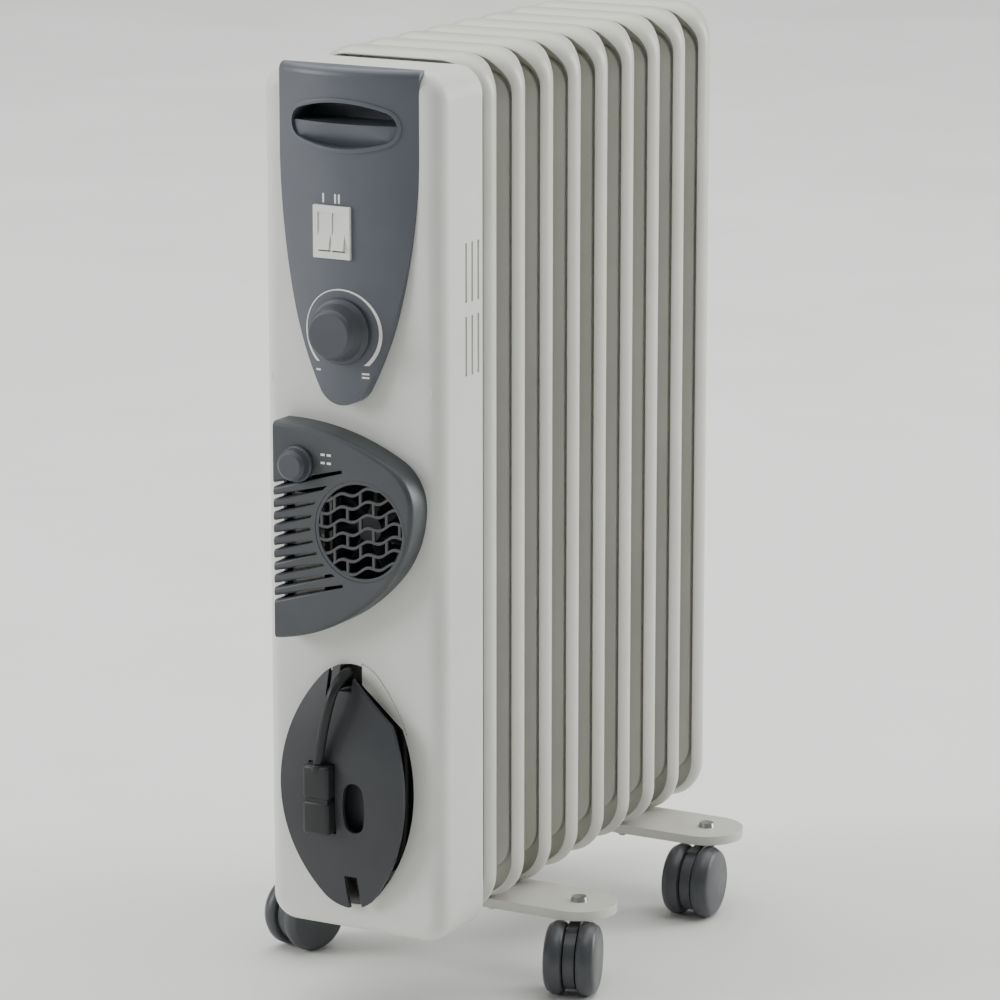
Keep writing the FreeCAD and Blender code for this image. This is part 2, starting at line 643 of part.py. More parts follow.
# ---------------------------------------------------------------- fan outlet
def make_fan_housing():
    """The dark fan housing with its sloping louvres, and the round grille in it."""
    face = "-fan_rise"
    outer = slab(draw_fan, front(face), front(0))
    soften(outer, "Fillet", outer.Tip, 3.5,
           lambda box: box.YMax < 0.01 and box.XMax > value("fan_left") + 1)
    inner = slab(lambda sketch: draw_fan(sketch, value("fan_wall")), front(face + " + fan_wall"),
                 front(1))
    slots = []
    for step in range(-5, 5):
        slot = block(0, 60, 0, 14, "-louvre_gap / 2", "louvre_gap / 2")
        rise = "grille_z + 4 + louvre_pitch * %s" % step
        turn = -value("louvre_slope")
        slots.append(move(slot, "fan_left - 6", front(face + " - 1"),
                          "%s - 16" % rise, (0, 1, 0), turn))
    ring = rod("grille_radius + 3.5", 16.0, x="grille_x", y=front(face + " - 1"), z="grille_z",
               along="Y")
    edge = slab(lambda sketch: draw_fan(sketch, 7.0), front(face + " - 1"), front(-6))
    left_edge = block("fan_left - 2", "fan_left + 8", front(face + " - 1"), front(-6),
                      272, 372)
    louvres = overlap(cut(fuse(*slots), ring), fuse(edge, left_edge))
    tools = [inner, louvres,
             rod("grille_radius + 0.1", 6.0, x="grille_x", y=front(face + " - 1"),
                 z="grille_z", along="Y"),
             rod(4.0, 6.0, x="selector_x", y=front(face + " - 1"), z="selector_z", along="Y")]
    keep(cut(outer, *tools), "fan_housing")


def make_grille():
    """The round grille: a ring, sloping bars and staggered struts."""
    y0 = front("-fan_rise + 0.3")
    thick = 2.2
    ring = cut(rod("grille_radius", thick, x="grille_x", y=y0, z="grille_z", along="Y"),
               rod("grille_radius - 2", thick + 2, x="grille_x", y=front("-fan_rise - 1"),
                   z="grille_z", along="Y"))
    disc = rod("grille_radius - 1", thick, x="grille_x", y=y0, z="grille_z", along="Y")
    bars = []
    slope = value("louvre_slope")
    turn = FreeCAD.Rotation(FreeCAD.Vector(0, 1, 0), -slope)
    centre = FreeCAD.Vector(value("grille_x"), 0, value("grille_z"))
    for row in range(-4, 5):
        bar = block(-36, 36, 0, thick, -0.9, 0.9)
        spot = centre + turn.multVec(FreeCAD.Vector(-36, 0, row * value("louvre_pitch") - 0.9))
        bars.append(move(bar, spot.x, y0, spot.z, (0, 1, 0), -slope))
        for strut in range(-2, 3):
            post = block(-0.9, 0.9, 0, thick, 0, "louvre_pitch")
            shift = strut * 20.0 + (10.0 if row % 2 else 0.0)
            spot = centre + turn.multVec(
                FreeCAD.Vector(shift - 0.9, 0, row * value("louvre_pitch")))
            bars.append(move(post, spot.x, y0, spot.z, (0, 1, 0), -slope))
    keep(fuse(ring, overlap(fuse(*bars), disc)), "fan_grille")


def make_fan_inside():
    """The duct, motor, impeller, heating coil and the selector with its switch."""
    outer = slab(lambda sketch: draw_fan(sketch, 5.4), front(-15.0), front(42.0))
    inner = slab(lambda sketch: draw_fan(sketch, 7.0), front(-16.0), front(40.4))
    outlet = block("fan_left - 2", "fan_left + 12", front(-16), front(-1), 276, 366)
    selector_room = block("fan_left - 2", -14, front(-16), front(-2), 360, 410)
    keep(cut(outer, inner, outlet, selector_room), "fan_duct")
    motor = rod(15.0, 26.0, x="grille_x", y=front(14.4), z="grille_z", along="Y")
    nose = rod(6.0, 4.0, x="grille_x", y=front(10.4), z="grille_z", along="Y")
    bore = rod(1.5 + FIT, 20.0, x="grille_x", y=front(4.4), z="grille_z", along="Y")
    keep(cut(fuse(motor, nose), bore), "fan_motor")
    hub = rod(9.0, 14.0, x="grille_x", y=front(-8.0), z="grille_z", along="Y")
    shaft = rod(1.5, 26.0, x="grille_x", y=front(-4.0), z="grille_z", along="Y")
    blades = []
    for number in range(7):
        blade = block(-1.0, 1.0, 0, 12, 7.0, 27.5)
        tilt = FreeCAD.Rotation(FreeCAD.Vector(0, 1, 0), 360.0 / 7 * number)
        pitch = FreeCAD.Rotation(FreeCAD.Vector(0, 0, 1), 38.0)
        spin = tilt.multiply(pitch)
        root = spin.multVec(FreeCAD.Vector(-1.0, -6.0, 7.0))
        move(blade, value("grille_x") + root.x, value(front(-1.0)) + root.y,
             value("grille_z") + root.z, tuple(spin.Axis), math.degrees(spin.Angle))
        blades.append(blade)
    keep(fuse(hub, shaft, *blades), "fan_impeller")
    frame = cut(block(-36, -14, front(-11), front(12), 284, 356),
                block(-38, -12, front(-9.5), front(10.5), 286, 354))
    stays = [block(-36, -14, front(-9.6), front(10.6), z - 0.5, z + 0.5) for z in (309, 331)]
    coils = [rod(3.0, 71.0, x=x, y=front(y), z=284.5, along="Z")
             for x in (-31.0, -19.0) for y in (-5.0, 5.0)]
    foot = block(-26, -24, front(11.5), front(40.4), 318, 322)
    keep(fuse(frame, foot, *stays, *coils), "fan_heating_coil")
    knob = new_body("selector_x", front("-fan_rise - 0.6"), "selector_z", (1, 0, 0), 90)
    turned(knob, [(0, 0), ("selector_radius", 0), ("selector_radius", 2.0),
                  ("selector_radius - 1.0", 3.0), ("selector_radius - 2.0", "selector_rise - 2"),
                  ("selector_radius - 4.0", "selector_rise"), (0, "selector_rise")])
    stem = rod(3.0, 9.0, x="selector_x", y=front("-fan_rise - 1.0"), z="selector_z", along="Y")
    keep(fuse(knob, stem), "fan_selector_knob")
    case = block("selector_x - 9", "selector_x + 9", front("-fan_rise + 2.4"), front(-4),
                 "selector_z - 9", "selector_z + 9")
    socket = rod(3.0 + FIT, 12.0, x="selector_x", y=front("-fan_rise + 1"), z="selector_z",
                 along="Y")
    keep(cut(case, socket), "fan_selector_switch")


make_fan_housing()
make_grille()
make_fan_inside()


# ---------------------------------------------------------------- cord store
def racetrack(radius, y0, y1):
    """An upright stadium about the cord store's middle, as a body."""
    low = "store_z - reel_straight"
    high = "store_z + reel_straight"

    def draw(sketch):
        wide = "(%s)" % radius
        return outline(sketch, [(wide, low), (wide, high), ("-" + wide, high), ("-" + wide, low)],
                       [None, -(value(radius) + 0.0001), None, -(value(radius) + 0.0001)])
    return slab(draw, y0, y1)


def make_store():
    """The recessed cup, the domed plate on its reel, the wound cord and the parked plug."""
    cup = cut(slab(draw_store, front(0), front("store_depth")),
              slab(lambda sketch: draw_store(sketch, 2.0), front(-1), front("store_depth - 2")),
              gland_rod(5.5, 30.0))
    room = overlap(crescent(SLACK), block(0, 60, front(-1), front("box_wall + %s" % SLACK),
                                          150, 260))
    keep(cut(cup, room), "cord_cup")
    dome = doc.addObject("Part::Sphere", "dome")
    bind(dome, "Radius", "store_dome")
    move(dome, 0, front("store_dome - store_plate_rise"), "store_z")
    under = doc.addObject("Part::Sphere", "under")
    bind(under, "Radius", "store_dome - 3.0")
    move(under, 0, front("store_dome - store_plate_rise"), "store_z")
    plate = overlap(slab(lambda sketch: draw_store(sketch, 1.0), front("-store_plate_rise - 1"),
                         front(-2.0)), dome)
    shell = cut(plate, under)
    reel = cut(overlap(racetrack("reel_radius", front("-store_plate_rise + 1.0"),
                                 front("store_depth - 2")), dome),
               racetrack("reel_radius - 2.0", front(-5.5), front("store_depth")),
               racetrack("reel_radius - 2.0", front("-store_plate_rise - 2"), front(-7.5)))
    plug_room = block(-23.2, -2.8, front(-24), front(-7.5), 130.6, 178.4)
    finger_hole = slab(lambda sketch: oval(sketch, 8.0, 17.0, 7.0, 11.0, 150.0),
                       front(-24), front(-7.5))
    notch = block(-5.2, 5.2, front(-24), front(2), 226.0, 250.0)
    slit = block(-13.5, -11.0, front(-24), front(2), 220.0, 250.0)
    hook = block(0.0, 9.5, front(-24), front(2), 70.0, 101.0)
    pin_holes = [rod(2.7, 6.0, x=-13.0, y=front(-9.0), z=z, along="Y") for z in PINS]
    keep(cut(fuse(shell, reel), plate_corner(), plug_room, finger_hole, notch, slit, hook,
             *pin_holes), "cord_plate")
    coil = cut(racetrack("reel_radius + 14.8", front(4.4), front(26.2)),
               racetrack("reel_radius + 0.3", front(3.0), front(28.0)))
    keep(coil, "cord_coil")
    tail = doc.addObject("Part::Feature", "tail")
    tail.Shape = cord_tube(TAIL)
    lead = doc.addObject("Part::Feature", "lead")
    lead.Shape = cord_tube(LEAD)
    upper = block(-22.8, -3.2, front(-28.0), front(-8.0), 155.0, 178.0)
    lower = block(-22.8, -3.2, front(-28.0), front(-8.0), 131.0, 153.8)
    waist = block(-21.8, -4.2, front(-27.0), front(-9.0), 153.0, 156.0)
    keep(fuse(upper, waist, lower), "mains_plug")
    keep(group(cut(tail, coil, upper), cut(lead, coil)), "mains_cord")
    keep(group(*[rod(2.4, 19.0, x=-13.0, y=front(-8.0), z=z, along="Y") for z in PINS]),
         "plug_pins")
    relief = new_body(GLAND_START[0], front(GLAND_START[1]), GLAND_START[2], (0, 1, 0), -45.0)
    turned(relief, [(0, 0), (7.5, 0), (7.5, 3.0), (5.4, 3.0), (4.4, 22.0), (0, 22.0)])
    keep(relief, "cord_gland")


def gland_rod(radius, length):
    """The room that the cord gland takes in the cup's wall."""
    made = rod(radius, length)
    return move(made, GLAND_START[0], front(GLAND_START[1]), GLAND_START[2], (0, 1, 0), -45.0)


def cord_tube(points):
    """A tube along straight runs joined by tangent arcs; prints each arc's radius."""
    spots = [FreeCAD.Vector(px, value(front(py)), pz) for px, py, pz in points]
    edges = []
    here = spots[0]
    for before, corner, after in zip(spots, spots[1:], spots[2:]):
        back = (before - corner).normalize()
        ahead = (after - corner).normalize()
        turn = math.pi - back.getAngle(ahead)
        reach = 0.45 * min((before - corner).Length, (after - corner).Length)
        radius = reach / math.tan(turn / 2)
        print("cord arc radius %.1f mm" % radius)
        first = corner + back * reach
        last = corner + ahead * reach
        inner = corner + (back + ahead).normalize() * (
            math.hypot(radius, reach) - radius)
        edges.append(Part.LineSegment(here, first).toShape())
        edges.append(Part.Arc(first, inner, last).toShape())
        here = last
    edges.append(Part.LineSegment(here, spots[-1]).toShape())
    wire = Part.Wire(edges)
    ring = Part.Wire(Part.makeCircle(value("cord_radius"), spots[0], spots[1] - spots[0]))
    tube = wire.makePipeShell([ring], True, False)
    expected = math.pi * value("cord_radius") ** 2 * wire.Length
    print("cord stretch %.1f mm, volume %.3f of its section times length"
          % (wire.Length, tube.Volume / expected))
    return tube


PINS = (144.5, 163.5)
GLAND_START = (9.2, 18.0, 72.0)
# hand-chosen points, Y measured from the front face
TAIL = [(-19.0, 8.0, 219.0), (-7.5, 6.5, 230.5), (-1.0, -2.0, 237.5), (0.0, -14.5, 237.0),
        (-2.0, -24.0, 228.0), (-7.0, -27.0, 212.0), (-11.5, -26.5, 195.0), (-13.0, -23.6, 178.0)]
LEAD = [(-6.356, 18.0, 87.556), (-14.0, 18.0, 95.2), (-20.0, 18.0, 102.5)]
make_store()


# ---------------------------------------------------------------- electrical pieces
def make_electrics():
    """The terminal block and the over-temperature cut-out on the rear cover."""
    terminals = block(8, 46, front("box_depth - 17"), front("box_depth - 3"), 412, 426)
    wells = [rod(2.4, 8.0, x=14 + 9 * number, y=front("box_depth - 18"), z=419, along="Y")
             for number in range(4)]
    keep(cut(terminals, *wells), "terminal_block")
    can = rod(8.0, 7.0, x=-30.0, y=front("box_depth - 10"), z=424, along="Y")
    tabs = [block(-30 + side - 2.5, -30 + side + 2.5, front("box_depth - 17"),
                  front("box_depth - 9.5"), 423.6, 424.4) for side in (-4.0, 4.0)]
    keep(fuse(can, *tabs), "thermal_cutout")


make_electrics()


# ---------------------------------------------------------------- feet and castors
def make_foot(gap, label):
    """One foot: a shallow pressed channel across the heater, with sockets for two stems."""
    centre = fin_y(gap)

    def draw(inset):
        wide = "(foot_half - %s)" % inset
        deep = "(foot_wide - %s)" % inset
        flat = "(foot_half - foot_wide)"
        bend = -(value("foot_wide") - inset + 0.0001)
        points = [("-" + flat, "-" + deep), (flat, "-" + deep), (flat, deep), ("-" + flat, deep)]
        return lambda sketch: outline(sketch, points, [None, bend, None, bend])
    body = new_body(y=centre, z="foot_low")
    outer = draw(0)(new_sketch(body, "XY_Plane"))
    extrude(body, "Pad", outer, "fin_bottom - foot_low")
    under = draw(3.0)(new_sketch(body, "XY_Plane"))
    extrude(body, "Pocket", under, "fin_bottom - foot_low - 2.5", flip=True)
    sockets = [rod(9.0, "fin_bottom - foot_low - 1.0", x="castor_x * %d" % side, y=centre,
                   z="foot_low + 0.5") for side in (-1, 1)]
    pads = [rod(7.0, "fin_bottom - foot_low - 0.5", x="(hub_radius + 2.8) * %d" % side, y=centre,
                z="foot_low") for side in (-1, 1)]
    holes = [rod("stem_radius", 30.0, x="castor_x * %d" % side, y=centre, z=40)
             for side in (-1, 1)]
    holes += [rod("bolt_rod + 0.3", 30.0, x="(hub_radius + 2.8) * %d" % side, y=centre, z=40)
              for side in (-1, 1)]
    keep(cut(fuse(body, *sockets, *pads), *holes), label)


def u_bolt(gap):
    """A round rod bent over the lower hub, with both legs down through the foot."""
    reach = value("hub_radius") + 2.8
    y = value(fin_y(gap))
    top = value("hub_low_z")
    low = 42.0
    left = FreeCAD.Vector(-reach, y, low)
    wire = Part.Wire([
        Part.makeLine(left, FreeCAD.Vector(-reach, y, top)),
        Part.Arc(FreeCAD.Vector(-reach, y, top), FreeCAD.Vector(0, y, top + reach),
                 FreeCAD.Vector(reach, y, top)).toShape(),
        Part.makeLine(FreeCAD.Vector(reach, y, top), FreeCAD.Vector(reach, y, low))])
    ring = Part.Wire(Part.makeCircle(value("bolt_rod"), left, FreeCAD.Vector(0, 0, 1)))
    made = doc.addObject("Part::Feature", "u_bolt")
    made.Shape = wire.makePipeShell([ring], True, False)
    return made


def wing_nut(gap, side):
    """A wing nut under the foot: a tapered hub with two flat wings."""
    x = "(hub_radius + 2.8) * %d" % side
    nut = new_body(x, fin_y(gap), "foot_low - 8.0")
    turned(nut, [("bolt_rod", 0), (4.6, 0), (5.4, 8.0), ("bolt_rod", 8.0)])
    wings = [block("%s + %s" % (x, low), "%s + %s" % (x, high), fin_y(gap) + " - 1.0",
                   fin_y(gap) + " + 1.0", "foot_low - 8.0", "foot_low - 1.0")
             for low, high in ((-12.0, -4.0), (4.0, 12.0))]
    return fuse(nut, *wings)


def castor_spot(side, gap):
    """Where a castor's swivel stands, and how far it is turned at rest."""
    turn = STEER_FRONT if gap == FRONT_GAP else STEER_REAR
    place = FreeCAD.Placement(FreeCAD.Vector(side * value("castor_x"), value(fin_y(gap)), 0),
                              FreeCAD.Rotation(FreeCAD.Vector(0, 0, 1), side * turn))
    return place


def make_castor(side, gap, label):
    """A trailing twin-wheel castor: hood, axle and the pair of wheels pressed onto it."""
    place = castor_spot(side, gap)
    axle_spot = (0, "-castor_trail", "wheel_radius")
    cheek = "wheel_inner - 0.7"
    disc = rod("wheel_radius - 4", "2 * (%s)" % cheek, x="-(%s)" % cheek, y=axle_spot[1],
               z=axle_spot[2], along="X")
    neck = block("-(%s)" % cheek, cheek, -13, 5.5, 30, 48)
    boss = rod(6.0, 7.5, z=43.5)
    roof = block("-(%s)" % cheek, cheek, -30, 0, 40, 47.5)
    hood = cut(fuse(disc, neck, boss, roof),
               rod("axle_radius + %s" % FIT, 20.0, x=-10, y=axle_spot[1], z=axle_spot[2],
                   along="X"),
               rod("stem_radius + %s" % FIT, 20.0, z=45.0))
    hood.Placement = place
    keep(hood, label + "_hood")
    axle = rod("axle_radius", "2 * wheel_inner + 2 * wheel_width - 5", x=0, y=0, z=0, along="X")
    half = value("wheel_inner") + value("wheel_width") - 2.5
    axle.Placement = place.multiply(FreeCAD.Placement(
        FreeCAD.Vector(-half, -value("castor_trail"), value("wheel_radius")),
        FreeCAD.Rotation(FreeCAD.Vector(0, 1, 0), 90)))
    keep(axle, label + "_axle")
    wheels = []
    for way in (-1, 1):
        wheel = doc.addObject("PartDesign::Body", "wheel")
        turned(wheel, [("axle_radius", 0), ("wheel_radius - 6", 0), ("wheel_radius - 1.6", 0.6),
                       ("wheel_radius", 3.4), ("wheel_radius", "wheel_width - 5.4"),
                       ("wheel_radius - 2.4", "wheel_width - 1.2"),
                       ("wheel_radius - 5", "wheel_width"), (0, "wheel_width - 0.8"),
                       (0, "wheel_width - 2.5"), ("axle_radius", "wheel_width - 2.5")])
        spin = FreeCAD.Rotation(FreeCAD.Vector(0, 1, 0), 90 * way)
        wheel.Placement = place.multiply(FreeCAD.Placement(
            FreeCAD.Vector(way * value("wheel_inner"), -value("castor_trail"),
                           value("wheel_radius")), spin))
        wheels.append(wheel)
    keep(group(*wheels), label + "_wheels")


def make_feet():
    """Both feet with their clamps, stems and castors."""
    make_foot(FRONT_GAP, "front_foot")
    make_foot(REAR_GAP, "rear_foot")
    keep(group(u_bolt(FRONT_GAP), u_bolt(REAR_GAP)), "u_bolts")
    keep(group(*[wing_nut(gap, side) for gap in (FRONT_GAP, REAR_GAP) for side in (-1, 1)]),
         "wing_nuts")
    stems = []
    for gap, end in ((FRONT_GAP, "front"), (REAR_GAP, "rear")):
        for side, hand in ((-1, "left"), (1, "right")):
            make_castor(side, gap, "castor_%s_%s" % (end, hand))
            stem = new_body("castor_x * %d" % side, fin_y(gap), 46.0)
            turned(stem, [(0, 0), ("stem_radius", 0), ("stem_radius", "fin_bottom - 46"),
                          (6.0, "fin_bottom - 46"), (5.0, "fin_bottom - 43"),
                          (0, "fin_bottom - 43")])
            stems.append(stem)
    keep(group(*stems), "castor_stems")


make_feet()


# ---------------------------------------------------------------- check and write
doc.recompute()
failed = [thing.Label for thing in doc.Objects
          if "Invalid" in thing.State or "Error" in thing.State]
for part in sub_parts:
    shape = part.Shape
    if shape.isNull() or not shape.isValid() or not shape.Solids:
        failed.append(part.Label + " (shape)")
if failed:
    raise SystemExit("these failed: " + ", ".join(failed))
os.makedirs("parts", exist_ok=True)
for part in sub_parts:
    part.Shape.exportStep("parts/%s.step" % part.Label)
    box = part.Shape.BoundBox
    print("%-24s %2d solids %9.0f mm3  X %.1f %.1f  Y %.1f %.1f  Z %.1f %.1f" % (
        part.Label, len(part.Shape.Solids), part.Shape.Volume, box.XMin, box.XMax, box.YMin,
        box.YMax, box.ZMin, box.ZMax))
print(len(sub_parts), "sub-parts written")
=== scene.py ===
import json
import math

import bpy
import bmesh
from mathutils import Matrix, Vector

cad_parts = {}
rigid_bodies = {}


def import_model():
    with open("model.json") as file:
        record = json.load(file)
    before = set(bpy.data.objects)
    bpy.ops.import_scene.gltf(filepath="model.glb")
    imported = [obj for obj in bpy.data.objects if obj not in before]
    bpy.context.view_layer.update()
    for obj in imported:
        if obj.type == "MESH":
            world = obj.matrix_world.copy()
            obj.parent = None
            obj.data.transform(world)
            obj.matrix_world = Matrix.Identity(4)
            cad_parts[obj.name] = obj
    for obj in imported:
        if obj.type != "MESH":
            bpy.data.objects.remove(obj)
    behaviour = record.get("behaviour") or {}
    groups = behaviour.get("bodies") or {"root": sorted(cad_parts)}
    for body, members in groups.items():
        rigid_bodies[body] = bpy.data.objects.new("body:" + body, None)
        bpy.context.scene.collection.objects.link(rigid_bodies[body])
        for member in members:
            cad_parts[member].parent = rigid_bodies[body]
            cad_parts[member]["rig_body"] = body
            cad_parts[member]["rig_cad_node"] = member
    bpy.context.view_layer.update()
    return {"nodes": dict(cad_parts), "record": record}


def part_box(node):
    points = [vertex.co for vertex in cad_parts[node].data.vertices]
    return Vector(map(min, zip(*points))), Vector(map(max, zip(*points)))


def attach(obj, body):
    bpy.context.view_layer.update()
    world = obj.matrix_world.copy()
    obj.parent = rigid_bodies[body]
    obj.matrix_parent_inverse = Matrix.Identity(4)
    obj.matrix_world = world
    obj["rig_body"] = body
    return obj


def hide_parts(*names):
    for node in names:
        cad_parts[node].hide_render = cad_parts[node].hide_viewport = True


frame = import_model()
nodes = frame["nodes"]
mm = 0.001
coverLow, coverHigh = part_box("front_cover")
frontY = coverLow.y   # the control box's front face


def at(x, behind, z):
    # a point in metres, from millimetres counted across, behind the front face, and up
    return Vector((x * mm, frontY + behind * mm, z * mm))


# tools for working on a mesh

def pick(obj):
    bpy.ops.object.select_all(action="DESELECT")
    obj.select_set(True)
    bpy.context.view_layer.objects.active = obj
    return obj


def named(name):
    # the primitive that was just added, with its place taken into its mesh
    obj = bpy.context.object
    obj.name = name
    bpy.ops.object.transform_apply(location=True, rotation=True, scale=True)
    return obj


def addBlock(name, low, high):
    bpy.ops.object.select_all(action="DESELECT")
    low, high = Vector(low), Vector(high)
    bpy.ops.mesh.primitive_cube_add(size=1, location=(low + high) / 2)
    bpy.context.object.scale = high - low
    return named(name)


def addRod(name, radius, length, start, along="Y", sides=64):
    # a cylinder that starts at a point and runs along one axis
    bpy.ops.object.select_all(action="DESELECT")
    way = {"X": Vector((1, 0, 0)), "Y": Vector((0, 1, 0)), "Z": Vector((0, 0, 1))}[along]
    turn = {"X": (0, math.pi / 2, 0), "Y": (-math.pi / 2, 0, 0), "Z": (0, 0, 0)}[along]
    bpy.ops.mesh.primitive_cylinder_add(vertices=sides, radius=radius * mm, depth=length * mm,
                                        location=Vector(start) + way * length * mm / 2,
                                        rotation=turn)
    return named(name)


def openEdit(obj, kind, test):
    # goes into edit mode with the faces, edges or verts selected whose middle passes the test
    pick(obj)
    bpy.ops.object.mode_set(mode="EDIT")
    bpy.ops.mesh.select_mode(type=kind)
    bpy.ops.mesh.select_all(action="DESELECT")
    mesh = bmesh.from_edit_mesh(obj.data)
    if kind == "FACE":
        for face in mesh.faces:
            face.select_set(test(face.calc_center_median(), face.normal))
    elif kind == "EDGE":
        for edge in mesh.edges:
            ends = [vert.co for vert in edge.verts]
            edge.select_set(test((ends[0] + ends[1]) / 2, (ends[1] - ends[0]).normalized()))
    else:
        for vert in mesh.verts:
            vert.select_set(test(vert.co, vert.normal))
    mesh.select_flush_mode()
    bmesh.update_edit_mesh(obj.data)


def closeEdit():
    bpy.ops.object.mode_set(mode="OBJECT")


def modify(obj, kind, **settings):
    # adds a modifier and applies it
    pick(obj)
    modifier = obj.modifiers.new(kind.lower(), kind)
    for name, setting in settings.items():
        setattr(modifier, name, setting)
    bpy.ops.object.modifier_apply(modifier=modifier.name)
    return obj


def carve(obj, *tools, operation="DIFFERENCE"):
    for tool in tools:
        modify(obj, "BOOLEAN", operation=operation, object=tool, solver="EXACT")
        bpy.data.objects.remove(tool)
    return obj


def joined(first, *others):
    bpy.ops.object.select_all(action="DESELECT")
    for obj in (first, *others):
        obj.select_set(True)
    bpy.context.view_layer.objects.active = first
    bpy.ops.object.join()
    return first


def roundEdges(obj, width, segments=3, angle=32):
    modify(obj, "BEVEL", width=width * mm, segments=segments, limit_method="ANGLE",
           angle_limit=math.radians(angle), use_clamp_overlap=True)
    return obj


def roundSome(obj, test, width, segments):
    # rounds only the edges whose middle and direction pass the test
    openEdit(obj, "EDGE", test)
    bpy.ops.mesh.bevel(offset=width * mm, segments=segments, affect="EDGES", clamp_overlap=False)
    closeEdit()
    return obj


def smooth(obj, angle=32):
    pick(obj)
    bpy.ops.object.shade_smooth_by_angle(angle=math.radians(angle))
    return obj


def shiftedCopy(obj, name, shift):
    twin = obj.copy()
    twin.data = obj.data.copy()
    twin.name = name
    bpy.context.scene.collection.objects.link(twin)
    twin.data.transform(Matrix.Translation(shift))
    return twin


clean = {"weld": 0.01, "flat": 0.3}   # millimetres and degrees


def softened(node, name):
    # a new piece from a CAD node's shape, with its flat faces made whole
    piece = nodes[node].copy()
    piece.data = nodes[node].data.copy()
    piece.parent = None
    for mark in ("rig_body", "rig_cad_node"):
        del piece[mark]
    piece.name = name
    bpy.context.scene.collection.objects.link(piece)
    pick(piece)
    bpy.ops.object.mode_set(mode="EDIT")
    bpy.ops.mesh.select_all(action="SELECT")
    bpy.ops.mesh.remove_doubles(threshold=clean["weld"] * mm)
    bpy.ops.mesh.customdata_custom_splitnormals_clear()
    bpy.ops.mesh.dissolve_limited(angle_limit=math.radians(clean["flat"]))
    bpy.ops.object.mode_set(mode="OBJECT")
    return smooth(piece)


def settle(piece, body, slotName, material, *replaced):
    # gives a finished piece its material, its body and the nodes that it stands for
    piece.data.materials.clear()
    piece.data.materials.append(material)
    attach(piece, body)
    if replaced:
        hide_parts(*replaced)


# materials

def toLinear(hexColour):
    parts = [int(hexColour[place:place + 2], 16) / 255 for place in (1, 3, 5)]
    return (*[part / 12.92 if part <= 0.04045 else ((part + 0.055) / 1.055) ** 2.4
              for part in parts], 1.0)


def addNode(tree, kind, settings, links=()):
    # one node: settings go to its sockets or its own options, links bring sockets to it
    node = tree.nodes.new("ShaderNode" + kind)
    for name, setting in settings.items():
        if isinstance(name, int) or name in node.inputs:
            node.inputs[name].default_value = setting
        else:
            setattr(node, name, setting)
    for name, source in links:
        tree.links.new(source, node.inputs[name])
    return node


def startMaterial(name, **sockets):
    material = bpy.data.materials.new(name)
    material.use_nodes = True
    tree = material.node_tree
    shader = tree.nodes["Principled BSDF"]
    for socket, setting in sockets.items():
        shader.inputs[socket.replace("_", " ")].default_value = setting
    place = addNode(tree, "TexCoord", {}).outputs["Object"]
    return material, tree, shader, place


def mottle(tree, place, shader, light, dark, patch):
    # a slow drift between two close colours, patch millimetres across
    noise = addNode(tree, "TexNoise", {"Scale": 1 / (patch * mm), "Detail": 3.0, "Roughness": 0.55},
                    [("Vector", place)])
    spread = addNode(tree, "MapRange", {"From Min": 0.35, "From Max": 0.65},
                     [("Value", noise.outputs["Fac"])])
    mix = addNode(tree, "Mix", {"data_type": "RGBA"}, [(0, spread.outputs["Result"])])
    mix.inputs[6].default_value = toLinear(dark)
    mix.inputs[7].default_value = toLinear(light)
    tree.links.new(mix.outputs[2], shader.inputs["Base Color"])


def grain(tree, place, shader, pitch, depth, kind="noise", strength=0.5, stretch=(1, 1, 1)):
    # fine relief, pitch millimetres from crest to crest and depth millimetres high
    spread = addNode(tree, "Mapping", {"Scale": stretch}, [("Vector", place)])
    if kind == "noise":
        relief = addNode(tree, "TexNoise", {"Scale": 1 / (pitch * mm), "Detail": 2.0},
                         [("Vector", spread.outputs["Vector"])]).outputs["Fac"]
    else:
        relief = addNode(tree, "TexVoronoi", {"Scale": 1 / (pitch * mm), "feature": "SMOOTH_F1"},
                         [("Vector", spread.outputs["Vector"])]).outputs["Distance"]
    bump = addNode(tree, "Bump", {"Strength": strength, "Distance": depth * mm},
                   [("Height", relief)])
    tree.links.new(bump.outputs["Normal"], shader.inputs["Normal"])


def unevenGloss(tree, place, shader, patch, low, high):
    # roughness that wanders, as handling and moulding leave it
    noise = addNode(tree, "TexNoise", {"Scale": 1 / (patch * mm), "Detail": 4.0},
                    [("Vector", place)])
    spread = addNode(tree, "MapRange", {"From Min": 0.3, "From Max": 0.7, "To Min": low,
                                        "To Max": high}, [("Value", noise.outputs["Fac"])])
    tree.links.new(spread.outputs["Result"], shader.inputs["Roughness"])


def makePlastic(name, light, dark, gloss, grit, depth, kind="voronoi", patch=60):
    # moulded ABS: tinted through, with the fine spark-eroded grain of its mould
    material, tree, shader, place = startMaterial(name, IOR=1.46)
    mottle(tree, place, shader, light, dark, patch)
    unevenGloss(tree, place, shader, 18, gloss[0], gloss[1])
    grain(tree, place, shader, grit, depth, kind, 0.35)
    return material


def makeMetal(name, light, dark, gloss, pitch, stretch=(1, 1, 1)):
    # bare or plated metal, with fine drawing or rolling marks
    material, tree, shader, place = startMaterial(name, Metallic=1.0)
    mottle(tree, place, shader, light, dark, 12)
    unevenGloss(tree, place, shader, 9, gloss[0], gloss[1])
    grain(tree, place, shader, pitch, 0.02, "noise", 0.3, stretch)
    return material


